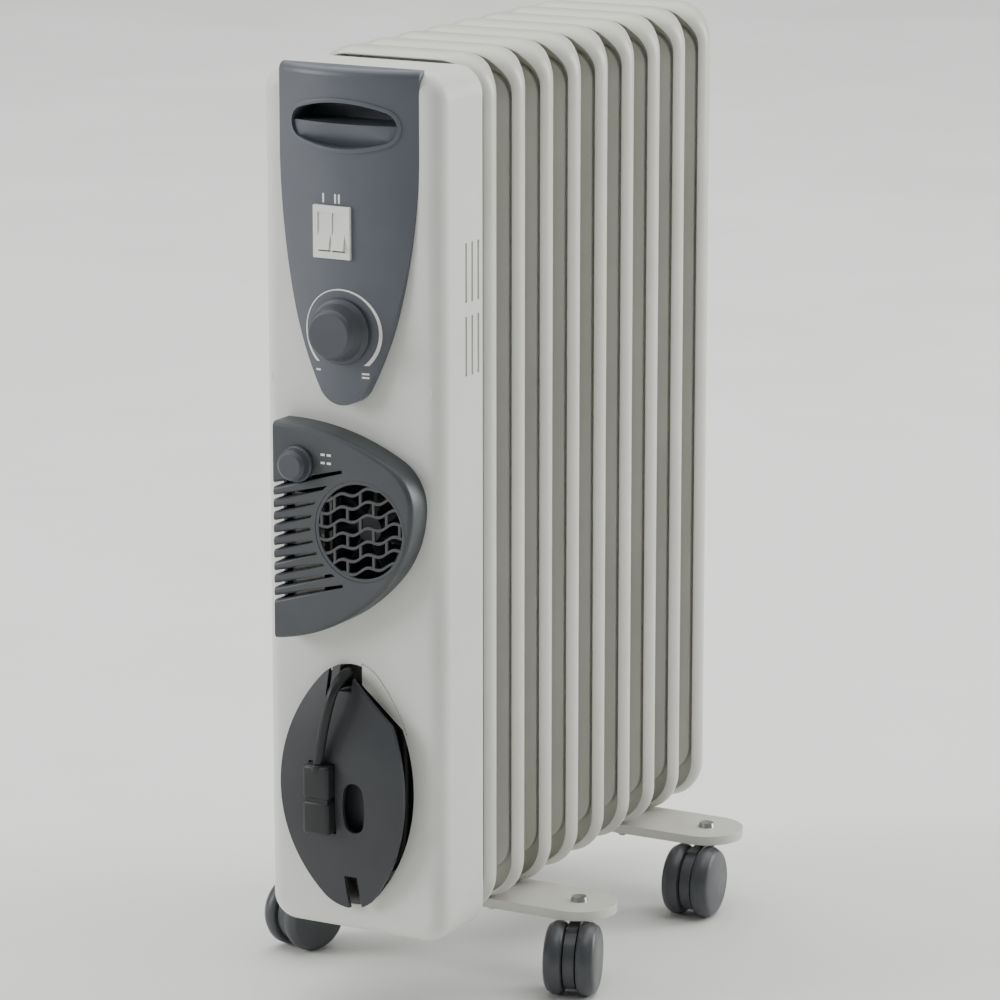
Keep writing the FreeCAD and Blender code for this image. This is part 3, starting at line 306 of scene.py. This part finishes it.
def makeStoveEnamel():
    # stove enamel sprayed on pressed steel and baked: a hard satin coat with faint orange peel
    material, tree, shader, place = startMaterial("creamStoveEnamel", IOR=1.5, Coat_Weight=0.25,
                                                  Coat_Roughness=0.22)
    mottle(tree, place, shader, "#c9c9c0", "#c2c2b8", 90)
    unevenGloss(tree, place, shader, 30, 0.34, 0.46)
    grain(tree, place, shader, 3.2, 0.05, "noise", 0.4)
    return material


def makeOil():
    # mineral oil, sealed in: a clear amber liquid
    material, tree, shader, place = startMaterial("amberMineralOil", IOR=1.47, Roughness=0.05,
                                                  Transmission_Weight=0.6)
    mottle(tree, place, shader, "#d9b25a", "#c79a3f", 40)
    return material


finish = {
    "enamel": makeStoveEnamel(),
    "cover": makePlastic("creamMouldedAbs", "#dadcd5", "#d4d6cf", (0.36, 0.46), 0.9, 0.03),
    "slate": makePlastic("slateMouldedAbs", "#585c63", "#52565d", (0.34, 0.44), 0.8, 0.03),
    "fan": makePlastic("graphiteMouldedAbs", "#45484b", "#404346", (0.38, 0.50), 0.8, 0.04),
    "store": makePlastic("charcoalMouldedAbs", "#323538", "#2d2f32", (0.36, 0.48), 0.9, 0.04),
    "knob": makePlastic("knobMouldedAbs", "#484b50", "#424549", (0.40, 0.50), 0.7, 0.03),
    "ivory": makePlastic("ivoryNylon", "#e6e6e0", "#dfdfd8", (0.22, 0.30), 1.4, 0.015, "noise"),
    "print": makePlastic("whitePadPrint", "#eeeeea", "#e2e2dd", (0.45, 0.6), 0.5, 0.01, "noise", 8),
    "dark": makePlastic("blackMouldedPbt", "#232426", "#1d1e20", (0.4, 0.55), 0.9, 0.03),
    "castor": makePlastic("greyCastorNylon", "#45484b", "#3e4043", (0.30, 0.42), 1.2, 0.03,
                          "noise"),
    "sheath": makePlastic("blackPvcSheath", "#1b1c1e", "#161718", (0.42, 0.55), 1.1, 0.05, "noise"),
    "plug": makePlastic("blackPlugPvc", "#1f2022", "#191a1b", (0.38, 0.5), 0.8, 0.04),
    "zinc": makeMetal("brightZincPlate", "#c2c3c0", "#aeb0ad", (0.24, 0.36), 1.2),
    "steel": makeMetal("rolledSteel", "#8f8e8a", "#7d7c78", (0.35, 0.5), 0.8, (1, 0.1, 1)),
    "brass": makeMetal("turnedBrass", "#cfb06a", "#bd9c55", (0.18, 0.3), 0.6),
    "oil": makeOil(),
}
slotFinish = {"enamel": "enamel", "cream_abs": "cover", "slate_abs": "slate", "knob_abs": "knob",
              "ivory_plastic": "ivory", "zinc_steel": "zinc", "element_steel": "steel",
              "oil": "oil", "dark_moulding": "dark", "castor_nylon": "castor",
              "cord_rubber": "sheath", "brass": "brass"}
print("materials made:", len(finish))


# every CAD node gets its finish; most are then stood for by a finer piece
for part in frame["record"]["subparts"]:
    node = nodes[part["node"]]
    node.data.materials.clear()
    node.data.materials.append(finish[slotFinish[part["material_slot"]]])


# fins
fin = {"half": 64.6, "low": 58.1, "high": 637.5, "corner": 28.0, "wide": 17.0, "crown": 3.4,
       "sheet": 1.0, "channelHalf": 57.0, "channelLow": 78.0, "channelHigh": 622.0,
       "channelDeep": 10.0, "channelCorner": 20.0, "windowHalf": 7.0, "windowStep": 32.0,
       "windowLow": 172.0, "windowHigh": 530.0, "hub": 28.0, "hubLow": 112.0, "hubHigh": 590.0,
       "pressed": 2.2, "rollSteps": 8, "cap": 36.0, "capSteps": 8, "arcSteps": 12,
       "windowCorner": 5.0, "pitch": 39.0, "web": 1.2, "webInset": 0.7, "count": 9}


def roundSlab(name, half, low, high, thick, middle, corner, segments=10, x=0.0):
    # an upright slab about the plane Y = middle, with four round corners
    slab = addBlock(name, ((x - half) * mm, middle - thick * mm / 2, low * mm),
                    ((x + half) * mm, middle + thick * mm / 2, high * mm))
    openEdit(slab, "EDGE", lambda spot, way: abs(way.y) > 0.9)
    bpy.ops.mesh.bevel(offset=corner * mm, segments=segments, affect="EDGES")
    closeEdit()
    return slab


def crownDrop(place):
    # how far the crowned band lies in, this many steps across it
    return fin["crown"] * mm * (2 * place / fin["rollSteps"] - 1) ** 2


def makeFinBand(middle):
    # the rolled edge: a crowned strip bent round the fin's outline
    half, low, high = fin["half"] * mm, fin["low"] * mm, fin["high"] * mm
    tall = high - low
    band = addBlock("band", (-half, middle, low), (half, middle + mm, high))
    openEdit(band, "FACE", lambda spot, normal: normal.y > -0.5)
    bpy.ops.mesh.delete(type="FACE")
    bpy.ops.mesh.select_mode(type="VERT")
    bpy.ops.mesh.select_all(action="SELECT")
    bpy.ops.mesh.bevel(offset=fin["corner"] * mm, segments=fin["arcSteps"], affect="VERTICES")
    bpy.ops.mesh.select_mode(type="FACE")
    bpy.ops.mesh.select_all(action="SELECT")
    bpy.ops.mesh.delete(type="ONLY_FACE")
    bpy.ops.mesh.select_mode(type="EDGE")
    bpy.ops.mesh.select_all(action="SELECT")
    centre = Vector((0, middle, (low + high) / 2))
    step = fin["wide"] * mm / fin["rollSteps"]
    first = crownDrop(0)
    bpy.ops.transform.translate(value=(0, -fin["wide"] * mm / 2, 0))
    bpy.ops.transform.resize(value=(1 - first / half, 1, 1 - 2 * first / tall),
                             center_override=centre)
    for place in range(1, fin["rollSteps"] + 1):
        bpy.ops.mesh.extrude_region_move(TRANSFORM_OT_translate={"value": (0, step, 0)})
        before, after = crownDrop(place - 1), crownDrop(place)
        bpy.ops.transform.resize(value=((half - after) / (half - before), 1,
                                        (tall - 2 * after) / (tall - 2 * before)),
                                 center_override=centre)
    bpy.ops.mesh.select_all(action="SELECT")
    bpy.ops.mesh.normals_make_consistent(inside=False)
    closeEdit()
    widenCap(band, middle, high)
    modify(band, "SOLIDIFY", thickness=fin["sheet"] * mm, offset=-1, use_even_offset=True)
    return roundEdges(band, 0.3, 2, 50)


def widenCap(band, middle, high):
    # round the upper corners the band grows, step by step, into the cap that nearly meets the next
    wide = fin["wide"]
    for step in range(1, fin["capSteps"] + 1):
        share = step / fin["capSteps"]
        grown = fin["wide"] + (fin["cap"] - fin["wide"]) * share * share * (3 - 2 * share)
        climb = math.sin(math.radians(90) * (step - 0.5) / fin["arcSteps"])
        level = high - fin["corner"] * mm * (1 - climb)
        openEdit(band, "VERT", lambda spot, normal: spot.z > level)
        bpy.ops.transform.resize(value=(1, grown / wide, 1), center_override=(0, middle, level))
        closeEdit()
        wide = grown


def makeFin(middle):
    # one fin: pressed oil channels with their two hubs, the web between, and the crowned band
    channels = roundSlab("fin", fin["channelHalf"], fin["channelLow"], fin["channelHigh"],
                         fin["channelDeep"], middle, fin["channelCorner"])
    for step in (-1, 0, 1):
        window = roundSlab("window", fin["windowHalf"], fin["windowLow"], fin["windowHigh"],
                           fin["channelDeep"] * 2, middle, fin["windowCorner"], 6,
                           fin["windowStep"] * step)
        carve(channels, window)
    pitch, inset = fin["pitch"], fin["webInset"]
    for height in (fin["hubLow"], fin["hubHigh"]):
        hub = addRod("hub", fin["hub"], pitch, (0, middle - pitch * mm / 2, height * mm))
        carve(channels, hub, operation="UNION")
    roundEdges(channels, fin["pressed"], 4, 30)
    web = roundSlab("web", fin["half"] - inset, fin["low"] + inset, fin["high"] - inset,
                    fin["web"], middle, fin["corner"] - inset)
    carve(channels, web, operation="UNION")
    joined(channels, makeFinBand(middle))
    return smooth(channels, 40)


def makeFins():
    firstLow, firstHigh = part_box("fin_1")
    middle = (firstLow.y + firstHigh.y) / 2
    model = makeFin(middle)
    for number in range(1, fin["count"] + 1):
        low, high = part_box("fin_%d" % number)
        shift = Vector((0, (low.y + high.y) / 2 - middle, 0))
        piece = shiftedCopy(model, "finPressing_%d" % number, shift)
        settle(piece, "heater", "enamel", finish["enamel"], "fin_%d" % number)
    bpy.data.objects.remove(model)
    print("fins made")


makeFins()


# pieces whose CAD shape is right and only wants rounded edges
softPieces = [
    # node, piece, body, slot, finish, edge radius, segments
    ("front_cover", "coverShell", "heater", "cream_abs", "cover", 0.5, 2),
    ("rear_cover", "backPlate", "heater", "zinc_steel", "zinc", 0.3, 2),
    ("control_panel", "panelShell", "heater", "slate_abs", "slate", 0.9, 3),
    ("grip_cup", "gripPocket", "heater", "slate_abs", "slate", 0.5, 2),
    ("switch_housing", "switchBezel", "heater", "ivory_plastic", "ivory", 0.5, 3),
    ("rocker_left", "rockerCap_left", "rocker_left", "ivory_plastic", "ivory", 0.5, 3),
    ("rocker_right", "rockerCap_right", "rocker_right", "ivory_plastic", "ivory", 0.5, 3),
    ("fan_housing", "fanShell", "heater", "slate_abs", "fan", 0.5, 3),
    ("cord_cup", "storeCup", "heater", "cream_abs", "cover", 0.4, 2),
    ("cord_plate", "storePlate", "heater", "slate_abs", "store", 0.5, 2),
    ("thermostat_knob", "dialKnob", "thermostat_dial", "knob_abs", "knob", 0.6, 3),
    ("fan_selector_knob", "selectorKnob", "fan_selector", "knob_abs", "knob", 0.4, 3),
    ("front_foot", "footPressing_front", "heater", "enamel", "enamel", 0.8, 3),
    ("rear_foot", "footPressing_rear", "heater", "enamel", "enamel", 0.8, 3),
    ("cord_gland", "glandSleeve", "heater", "cord_rubber", "sheath", 0.5, 3),
    ("hub_end_caps", "hubCaps", "heater", "enamel", "enamel", 0.8, 3),
    ("filler_plug", "fillerPlug", "heater", "zinc_steel", "zinc", 0.5, 3),
    ("cover_screws", "coverScrews", "heater", "zinc_steel", "zinc", 0.4, 3),
    ("wing_nuts", "wingNuts", "heater", "zinc_steel", "zinc", 0.4, 3),
]
for end in ("front_left", "front_right", "rear_left", "rear_right"):
    softPieces.append(("castor_%s_wheels" % end, "castorWheels_" + end,
                       "castor_%s_wheel_pair" % end, "castor_nylon", "castor", 0.8, 3))
    softPieces.append(("castor_%s_hood" % end, "castorHood_" + end, "castor_" + end,
                       "castor_nylon", "castor", 0.6, 3))


louvre = {"face": -20.0, "slope": 15.0, "round": 2.2}
panel = {"top": 634.0, "topRound": 5.0, "bend": 116.5, "bulge": 12.0, "rod": 260.0,
         "rodLow": 400.0, "rodSides": 512}
touch = 0.05 * mm   # as near as counts as lying in one plane


def shapeFirst(node, piece):
    # the larger roundings that a few pieces have before the general one
    if node == "fan_housing":
        slope = math.radians(louvre["slope"])
        along = Vector((math.cos(slope), 0, math.sin(slope)))
        face = at(0, louvre["face"], 0).y
        roundSome(piece, lambda spot, way: abs(spot.y - face) < touch
                  and abs(way.dot(along)) > 0.999, louvre["round"], 4)
    if node == "control_panel":
        top = panel["top"] * mm
        roundSome(piece, lambda spot, way: spot.z > top - touch
                  and spot.y < frontY - 0.5 * mm and abs(way.x) > 0.9, panel["topRound"], 6)
    return piece


for node, name, body, slotName, look, width, segments in softPieces:
    piece = shapeFirst(node, softened(node, name))
    smooth(roundEdges(piece, width, segments))
    settle(piece, body, slotName, finish[look], node)
print("softened pieces made:", len(softPieces))


# prints and beads that lie on the panel's round front
grip = {"z": 597.5, "half": 16.5, "tip": 12.0, "tipX": 28.5, "sideRadius": 104.5, "sideDrop": 88.0,
        "meet": 32.2, "spread": 0.31, "bead": 0.9, "inside": 1.7, "proud": 0.7, "near": -14.0,
        "far": -2.0, "tall": 25.0, "rod": 30.0, "rodNear": -22.0, "round": 0.45}
dial = {"z": 465.0, "outer": 28.1, "inner": 26.6, "shift": 0.6, "open": 21.0, "clear": 40.0,
        "markX": 17.5, "markZ": 438.5, "markTall": 1.2, "markGap": 2.4, "less": 3.4, "more": 5.0}
marks = {"switchX": (-12.6, -3.4, -0.6), "switchZ": 550.5, "tall": 6.0, "wide": 1.3,
         "selectorX": (-11.0, -6.4), "selectorZ": (378.6, 384.0), "selectorWide": 3.0,
         "selectorTall": 1.5, "sunk": 0.2, "thick": 0.12, "near": -14.0, "far": -4.0}


def panelRound(grow):
    start = at(0, panel["bend"] - panel["bulge"], panel["rodLow"])
    return addRod("round", panel["bend"] + grow, panel["rod"], start, "Z", panel["rodSides"])


def ontoPanel(prism, proud, deep=0.5):
    # trims a prism to a thin skin on the panel's round front
    carve(prism, panelRound(proud), operation="INTERSECT")
    return carve(prism, panelRound(-deep))


def gripLens(grow, over):
    # the middle of the grip's four-arc oval: what two large rods share
    reach = grip["meet"] + grip["spread"] * grow
    lens = addBlock("lens", at(-reach, grip["near"] - over, grip["z"] - grip["tall"]),
                    at(reach, grip["far"] + over, grip["z"] + grip["tall"]))
    for way in (-1, 1):
        side = addRod("side", grip["sideRadius"] + grow, grip["rod"],
                      at(0, grip["rodNear"], grip["z"] + way * grip["sideDrop"]), sides=512)
        carve(lens, side, operation="INTERSECT")
    return lens


def gripTip(grow, over, way):
    return addRod("tip", grip["tip"] + grow, grip["far"] - grip["near"] + 2 * over,
                  at(way * grip["tipX"], grip["near"] - over, grip["z"]), sides=96)


def panelBar(name, x, z, wide, tall):
    bar = addBlock(name, at(x - wide / 2, marks["near"], z - tall / 2),
                   at(x + wide / 2, marks["far"], z + tall / 2))
    return ontoPanel(bar, marks["thick"])


def makePrints():
    # white pad prints: the dial's swelling arc with its end marks, and bars by the switches
    near, far, clear = marks["near"], marks["far"], dial["clear"]
    arc = addRod("dialScale", dial["outer"], far - near,
                 at(dial["shift"], near, dial["z"] - dial["shift"]), sides=160)
    carve(arc, addRod("inside", dial["inner"], far - near + 4, at(0, near - 2, dial["z"]),
                      sides=160))
    carve(arc, addBlock("open", at(-clear, near - 2, dial["z"] - clear),
                        at(clear, far + 2, dial["z"] - dial["open"])))
    ontoPanel(arc, marks["thick"])
    left, right = -dial["markX"], dial["markX"]
    joined(arc, panelBar("mark", left, dial["markZ"], dial["less"], dial["markTall"]),
           panelBar("mark", right, dial["markZ"], dial["more"], dial["markTall"]),
           panelBar("mark", right, dial["markZ"] - dial["markGap"], dial["more"],
                    dial["markTall"]))
    settle(arc, "heater", "ivory_plastic", finish["print"])
    first, *others = [panelBar("switchMarks", x, marks["switchZ"], marks["wide"], marks["tall"])
                      for x in marks["switchX"]]
    settle(joined(first, *others), "heater", "ivory_plastic", finish["print"])
    face = louvre["face"]
    first, *others = [addBlock("selectorMarks", at(x, face - marks["thick"], z),
                               at(x + marks["selectorWide"], face + marks["sunk"],
                                  z + marks["selectorTall"]))
                      for x in marks["selectorX"] for z in marks["selectorZ"]]
    settle(joined(first, *others), "heater", "ivory_plastic", finish["print"])
    print("prints made")


def makeGripBead():
    # the raised lip round the grip's mouth
    bead = gripLens(grip["bead"], 0.0)
    for way in (-1, 1):
        carve(bead, gripTip(grip["bead"], 0.4, way), operation="UNION")
    carve(bead, gripLens(-grip["inside"], 2.0))
    for way in (-1, 1):
        carve(bead, gripTip(-grip["inside"], 3.0, way))
    ontoPanel(bead, grip["proud"], 1.2)
    smooth(roundEdges(bead, grip["round"], 3))
    bead.name = "gripLip"
    settle(bead, "heater", "slate_abs", finish["slate"])
    print("grip lip made")


makePrints()
makeGripBead()


# the fan's grille
grille = {"x": 17.9, "z": 336.6, "radius": 33.5, "ring": 2.4, "face": -19.7, "thick": 2.2,
          "pitch": 8.4, "slope": 15.0, "bar": 1.9, "wave": 1.5, "period": 20.0, "step": 1.5,
          "reach": 36.0, "strut": 20.0, "strutHalf": 0.9, "sunk": 0.15, "strutSunk": 0.2,
          "overlap": 1.0, "round": 0.35, "rows": 4, "struts": 2}


def waveHeight(along):
    return grille["wave"] * math.sin(2 * math.pi * along / grille["period"])


def makeWaveBar():
    # one wavy bar: a short block whose end face is extruded again and again along the wave
    slope = math.radians(grille["slope"])
    start = Vector((grille["x"], 0, grille["z"])) + Vector(
        (-grille["reach"] * math.cos(slope), 0, -grille["reach"] * math.sin(slope)
         + waveHeight(-grille["reach"])))
    half = grille["bar"] / 2
    bar = addBlock("bar", at(start.x - 1, grille["face"] + grille["sunk"], start.z - half),
                   at(start.x, grille["face"] + grille["thick"], start.z + half))
    openEdit(bar, "FACE", lambda spot, normal: normal.x > 0.9)
    along = -grille["reach"]
    while along < grille["reach"]:
        rise = waveHeight(along + grille["step"]) - waveHeight(along)
        move = (grille["step"] * math.cos(slope) * mm, 0,
                (grille["step"] * math.sin(slope) + rise) * mm)
        bpy.ops.mesh.extrude_region_move(TRANSFORM_OT_translate={"value": move})
        along += grille["step"]
    closeEdit()
    return bar


def makeGrille():
    slope = math.radians(grille["slope"])
    face, thick, radius = grille["face"], grille["thick"], grille["radius"]
    inner, half = radius - grille["overlap"], grille["strutHalf"]
    ring = addRod("fanGrille", radius, thick, at(grille["x"], face, grille["z"]), sides=128)
    carve(ring, addRod("hole", radius - grille["ring"], thick + 2,
                       at(grille["x"], face - 1, grille["z"]), sides=128))
    model = makeWaveBar()
    bars = []
    for row in range(-grille["rows"], grille["rows"] + 1):
        rise = row * grille["pitch"] / math.cos(slope)
        bar = shiftedCopy(model, "bar", (0, 0, rise * mm))
        disc = addRod("disc", inner, thick + 2, at(grille["x"], face - 1, grille["z"]), sides=128)
        bars.append(carve(bar, disc, operation="INTERSECT"))
        for strut in range(-grille["struts"], grille["struts"] + 1):
            along = strut * grille["strut"] + (grille["strut"] / 2 if row % 2 else 0.0)
            x = along * math.cos(slope)
            low = x * math.tan(slope) + rise + waveHeight(along)
            high = low + grille["pitch"] / math.cos(slope)
            if max(math.hypot(x, low), math.hypot(x, high)) < inner:
                x, z = grille["x"] + x, grille["z"]
                bars.append(addBlock("strut", at(x - half, face + grille["strutSunk"], z + low),
                                     at(x + half, face + thick, z + high)))
    bpy.data.objects.remove(model)
    joined(ring, *bars)
    smooth(roundEdges(ring, grille["round"], 2, 40))
    settle(ring, "heater", "slate_abs", finish["fan"], "fan_grille")
    print("grille made")


makeGrille()


# the plug: two rounded blocks with a waist between them, and a short sleeve for the cord
plug = {"x": (-22.8, -3.2), "behind": (-28.0, -8.0), "upper": (155.0, 178.0),
        "lower": (131.0, 153.8), "waist": (152.0, 157.0), "inset": 1.2, "round": 2.6,
        "waistRound": 0.5, "sleeve": 5.2, "sleeveLong": 5.0, "sleeveDrop": 4.6,
        "sleeveRound": 0.6}


def plugBlock(low, high, inset, width):
    left, right = plug["x"]
    near, far = plug["behind"]
    made = addBlock("plugBody", at(left + inset, near + inset, low),
                    at(right - inset, far - inset, high))
    return roundEdges(made, width, 4)


def makePlug():
    body = plugBlock(*plug["lower"], 0.0, plug["round"])
    tail = cord["tail"][-1]
    sleeve = addRod("sleeve", plug["sleeve"], plug["sleeveLong"],
                    at(tail[0], tail[1], tail[2] - plug["sleeveDrop"]), "Z", 48)
    joined(body, plugBlock(*plug["upper"], 0.0, plug["round"]),
           plugBlock(*plug["waist"], plug["inset"], plug["waistRound"]),
           roundEdges(sleeve, plug["sleeveRound"], 3, 50))
    settle(smooth(body, 40), "heater", "cord_rubber", finish["plug"], "mains_plug")
    print("plug made")


# mains cord
cord = {"length": 1.78, "thick": 7.0, "straight": 28.0, "middle": 160.0, "perTurn": 16,
        "turns": 5.318, "startAngle": -124.0, "inner": 28.8, "outer": 35.9,
        # turn by turn: where the cord lies across the reel's layers and along its depth
        "layers": [(0.0, 1.0), (0.25, 0.0), (2.7, 0.0), (2.95, 1.0), (6.0, 1.0)],
        "depths": [(0.0, 18.0), (0.25, 22.2), (0.75, 22.2), (1.0, 15.1), (1.75, 15.1), (2.0, 8.0),
                   (3.0, 8.0), (3.3, 15.1), (3.9, 15.1), (4.3, 8.0), (6.0, 8.0)],
        "lead": [(-6.356, 18.0, 87.556), (-14.0, 18.0, 95.2), (-20.0, 18.0, 102.5)],
        "tail": [(-19.0, 8.0, 219.0), (-7.5, 6.5, 230.5), (-1.0, -2.0, 237.5), (0.0, -14.5, 237.0),
                 (-2.0, -23.6, 228.0), (-5.6, -25.2, 212.0), (-9.6, -25.0, 195.0),
                 (-13.0, -23.6, 178.0)]}


def between(marks, turn):
    # the value at a turn, straight between the marks on either side of it
    for (start, low), (stop, high) in zip(marks, marks[1:]):
        if turn <= stop:
            return low + (high - low) * (turn - start) / (stop - start)
    return marks[-1][1]


def coilPoints():
    # the turns about the reel, clockwise from the front: the inner layer, then the rest over it
    points = []
    for step in range(1, int(cord["turns"] * cord["perTurn"])):
        turn = step / cord["perTurn"]
        layer = between(cord["layers"], turn)
        radius = cord["inner"] + (cord["outer"] - cord["inner"]) * layer
        angle = math.radians(cord["startAngle"] - 360 * turn)
        up = math.sin(angle)
        z = cord["middle"] + radius * up + math.copysign(cord["straight"], up)
        points.append((radius * math.cos(angle), between(cord["depths"], turn), z))
    return points


def makeCord():
    route = cord["lead"] + coilPoints() + cord["tail"]
    curve = bpy.data.curves.new("mainsLead", "CURVE")
    curve.dimensions = "3D"
    curve.bevel_depth = cord["thick"] * mm / 2
    curve.bevel_resolution = 4
    curve.resolution_u = 6
    curve.use_fill_caps = True
    spline = curve.splines.new("NURBS")
    spline.points.add(len(route) - 1)
    for point, spot in zip(spline.points, route):
        point.co = (*at(*spot), 1)
    spline.order_u = 3
    spline.use_endpoint_u = True
    piece = bpy.data.objects.new("mainsLead", curve)
    bpy.context.scene.collection.objects.link(piece)
    settle(piece, "heater", "cord_rubber", finish["sheath"], "mains_cord", "cord_coil")
    return piece


lead = makeCord()
makePlug()


# light, floor and camera
studio = {"floor": 30, "light": "#e4e4e2", "dark": "#dededc", "patch": 400, "sky": "#f1f2f4",
          "skyPower": 0.3}
lamps = [
    # name, place, target, width and height, watts
    ("keyLeft", (-2.8, -2.3, 1.6), (0, -0.2, 0.35), (1.6, 1.8), 92),
    ("sideRight", (2.2, 2.2, 1.2), (0, 0.1, 0.3), (1.4, 1.8), 74),
    ("overhead", (-1.0, 2.4, 5.0), (-1.0, 2.4, 0), (9.0, 9.0), 640),
]
shot = {"place": (1.4845, -2.7082, 1.0237), "pitch": 77.046, "heading": 28.646, "lens": 166.6}


def makeStage():
    bpy.ops.mesh.primitive_plane_add(size=studio["floor"], location=(0, 0, 0))
    floor = bpy.context.object
    floor.name = "floor"
    material, tree, shader, place = startMaterial("paleFloor", Roughness=0.8)
    mottle(tree, place, shader, studio["light"], studio["dark"], studio["patch"])
    floor.data.materials.append(material)
    world = bpy.data.worlds.new("studio")
    world.use_nodes = True
    sky = world.node_tree.nodes["Background"]
    sky.inputs["Color"].default_value = toLinear(studio["sky"])
    sky.inputs["Strength"].default_value = studio["skyPower"]
    bpy.context.scene.world = world


def addLamp(name, spot, target, size, power):
    lamp = bpy.data.lights.new(name, "AREA")
    lamp.shape = "RECTANGLE"
    lamp.size, lamp.size_y = size
    lamp.energy = power
    obj = bpy.data.objects.new(name, lamp)
    obj.location = spot
    obj.rotation_euler = (Vector(target) - Vector(spot)).to_track_quat("-Z", "Y").to_euler()
    bpy.context.scene.collection.objects.link(obj)


def addCamera():
    camera = bpy.data.cameras.new("camera")
    camera.lens = shot["lens"]
    camera.sensor_width = 36
    obj = bpy.data.objects.new("camera", camera)
    obj.location = shot["place"]
    obj.rotation_euler = (math.radians(shot["pitch"]), 0, math.radians(shot["heading"]))
    bpy.context.scene.collection.objects.link(obj)
    bpy.context.scene.camera = obj


makeStage()
for lamp in lamps:
    addLamp(*lamp)
addCamera()
print("stage made")
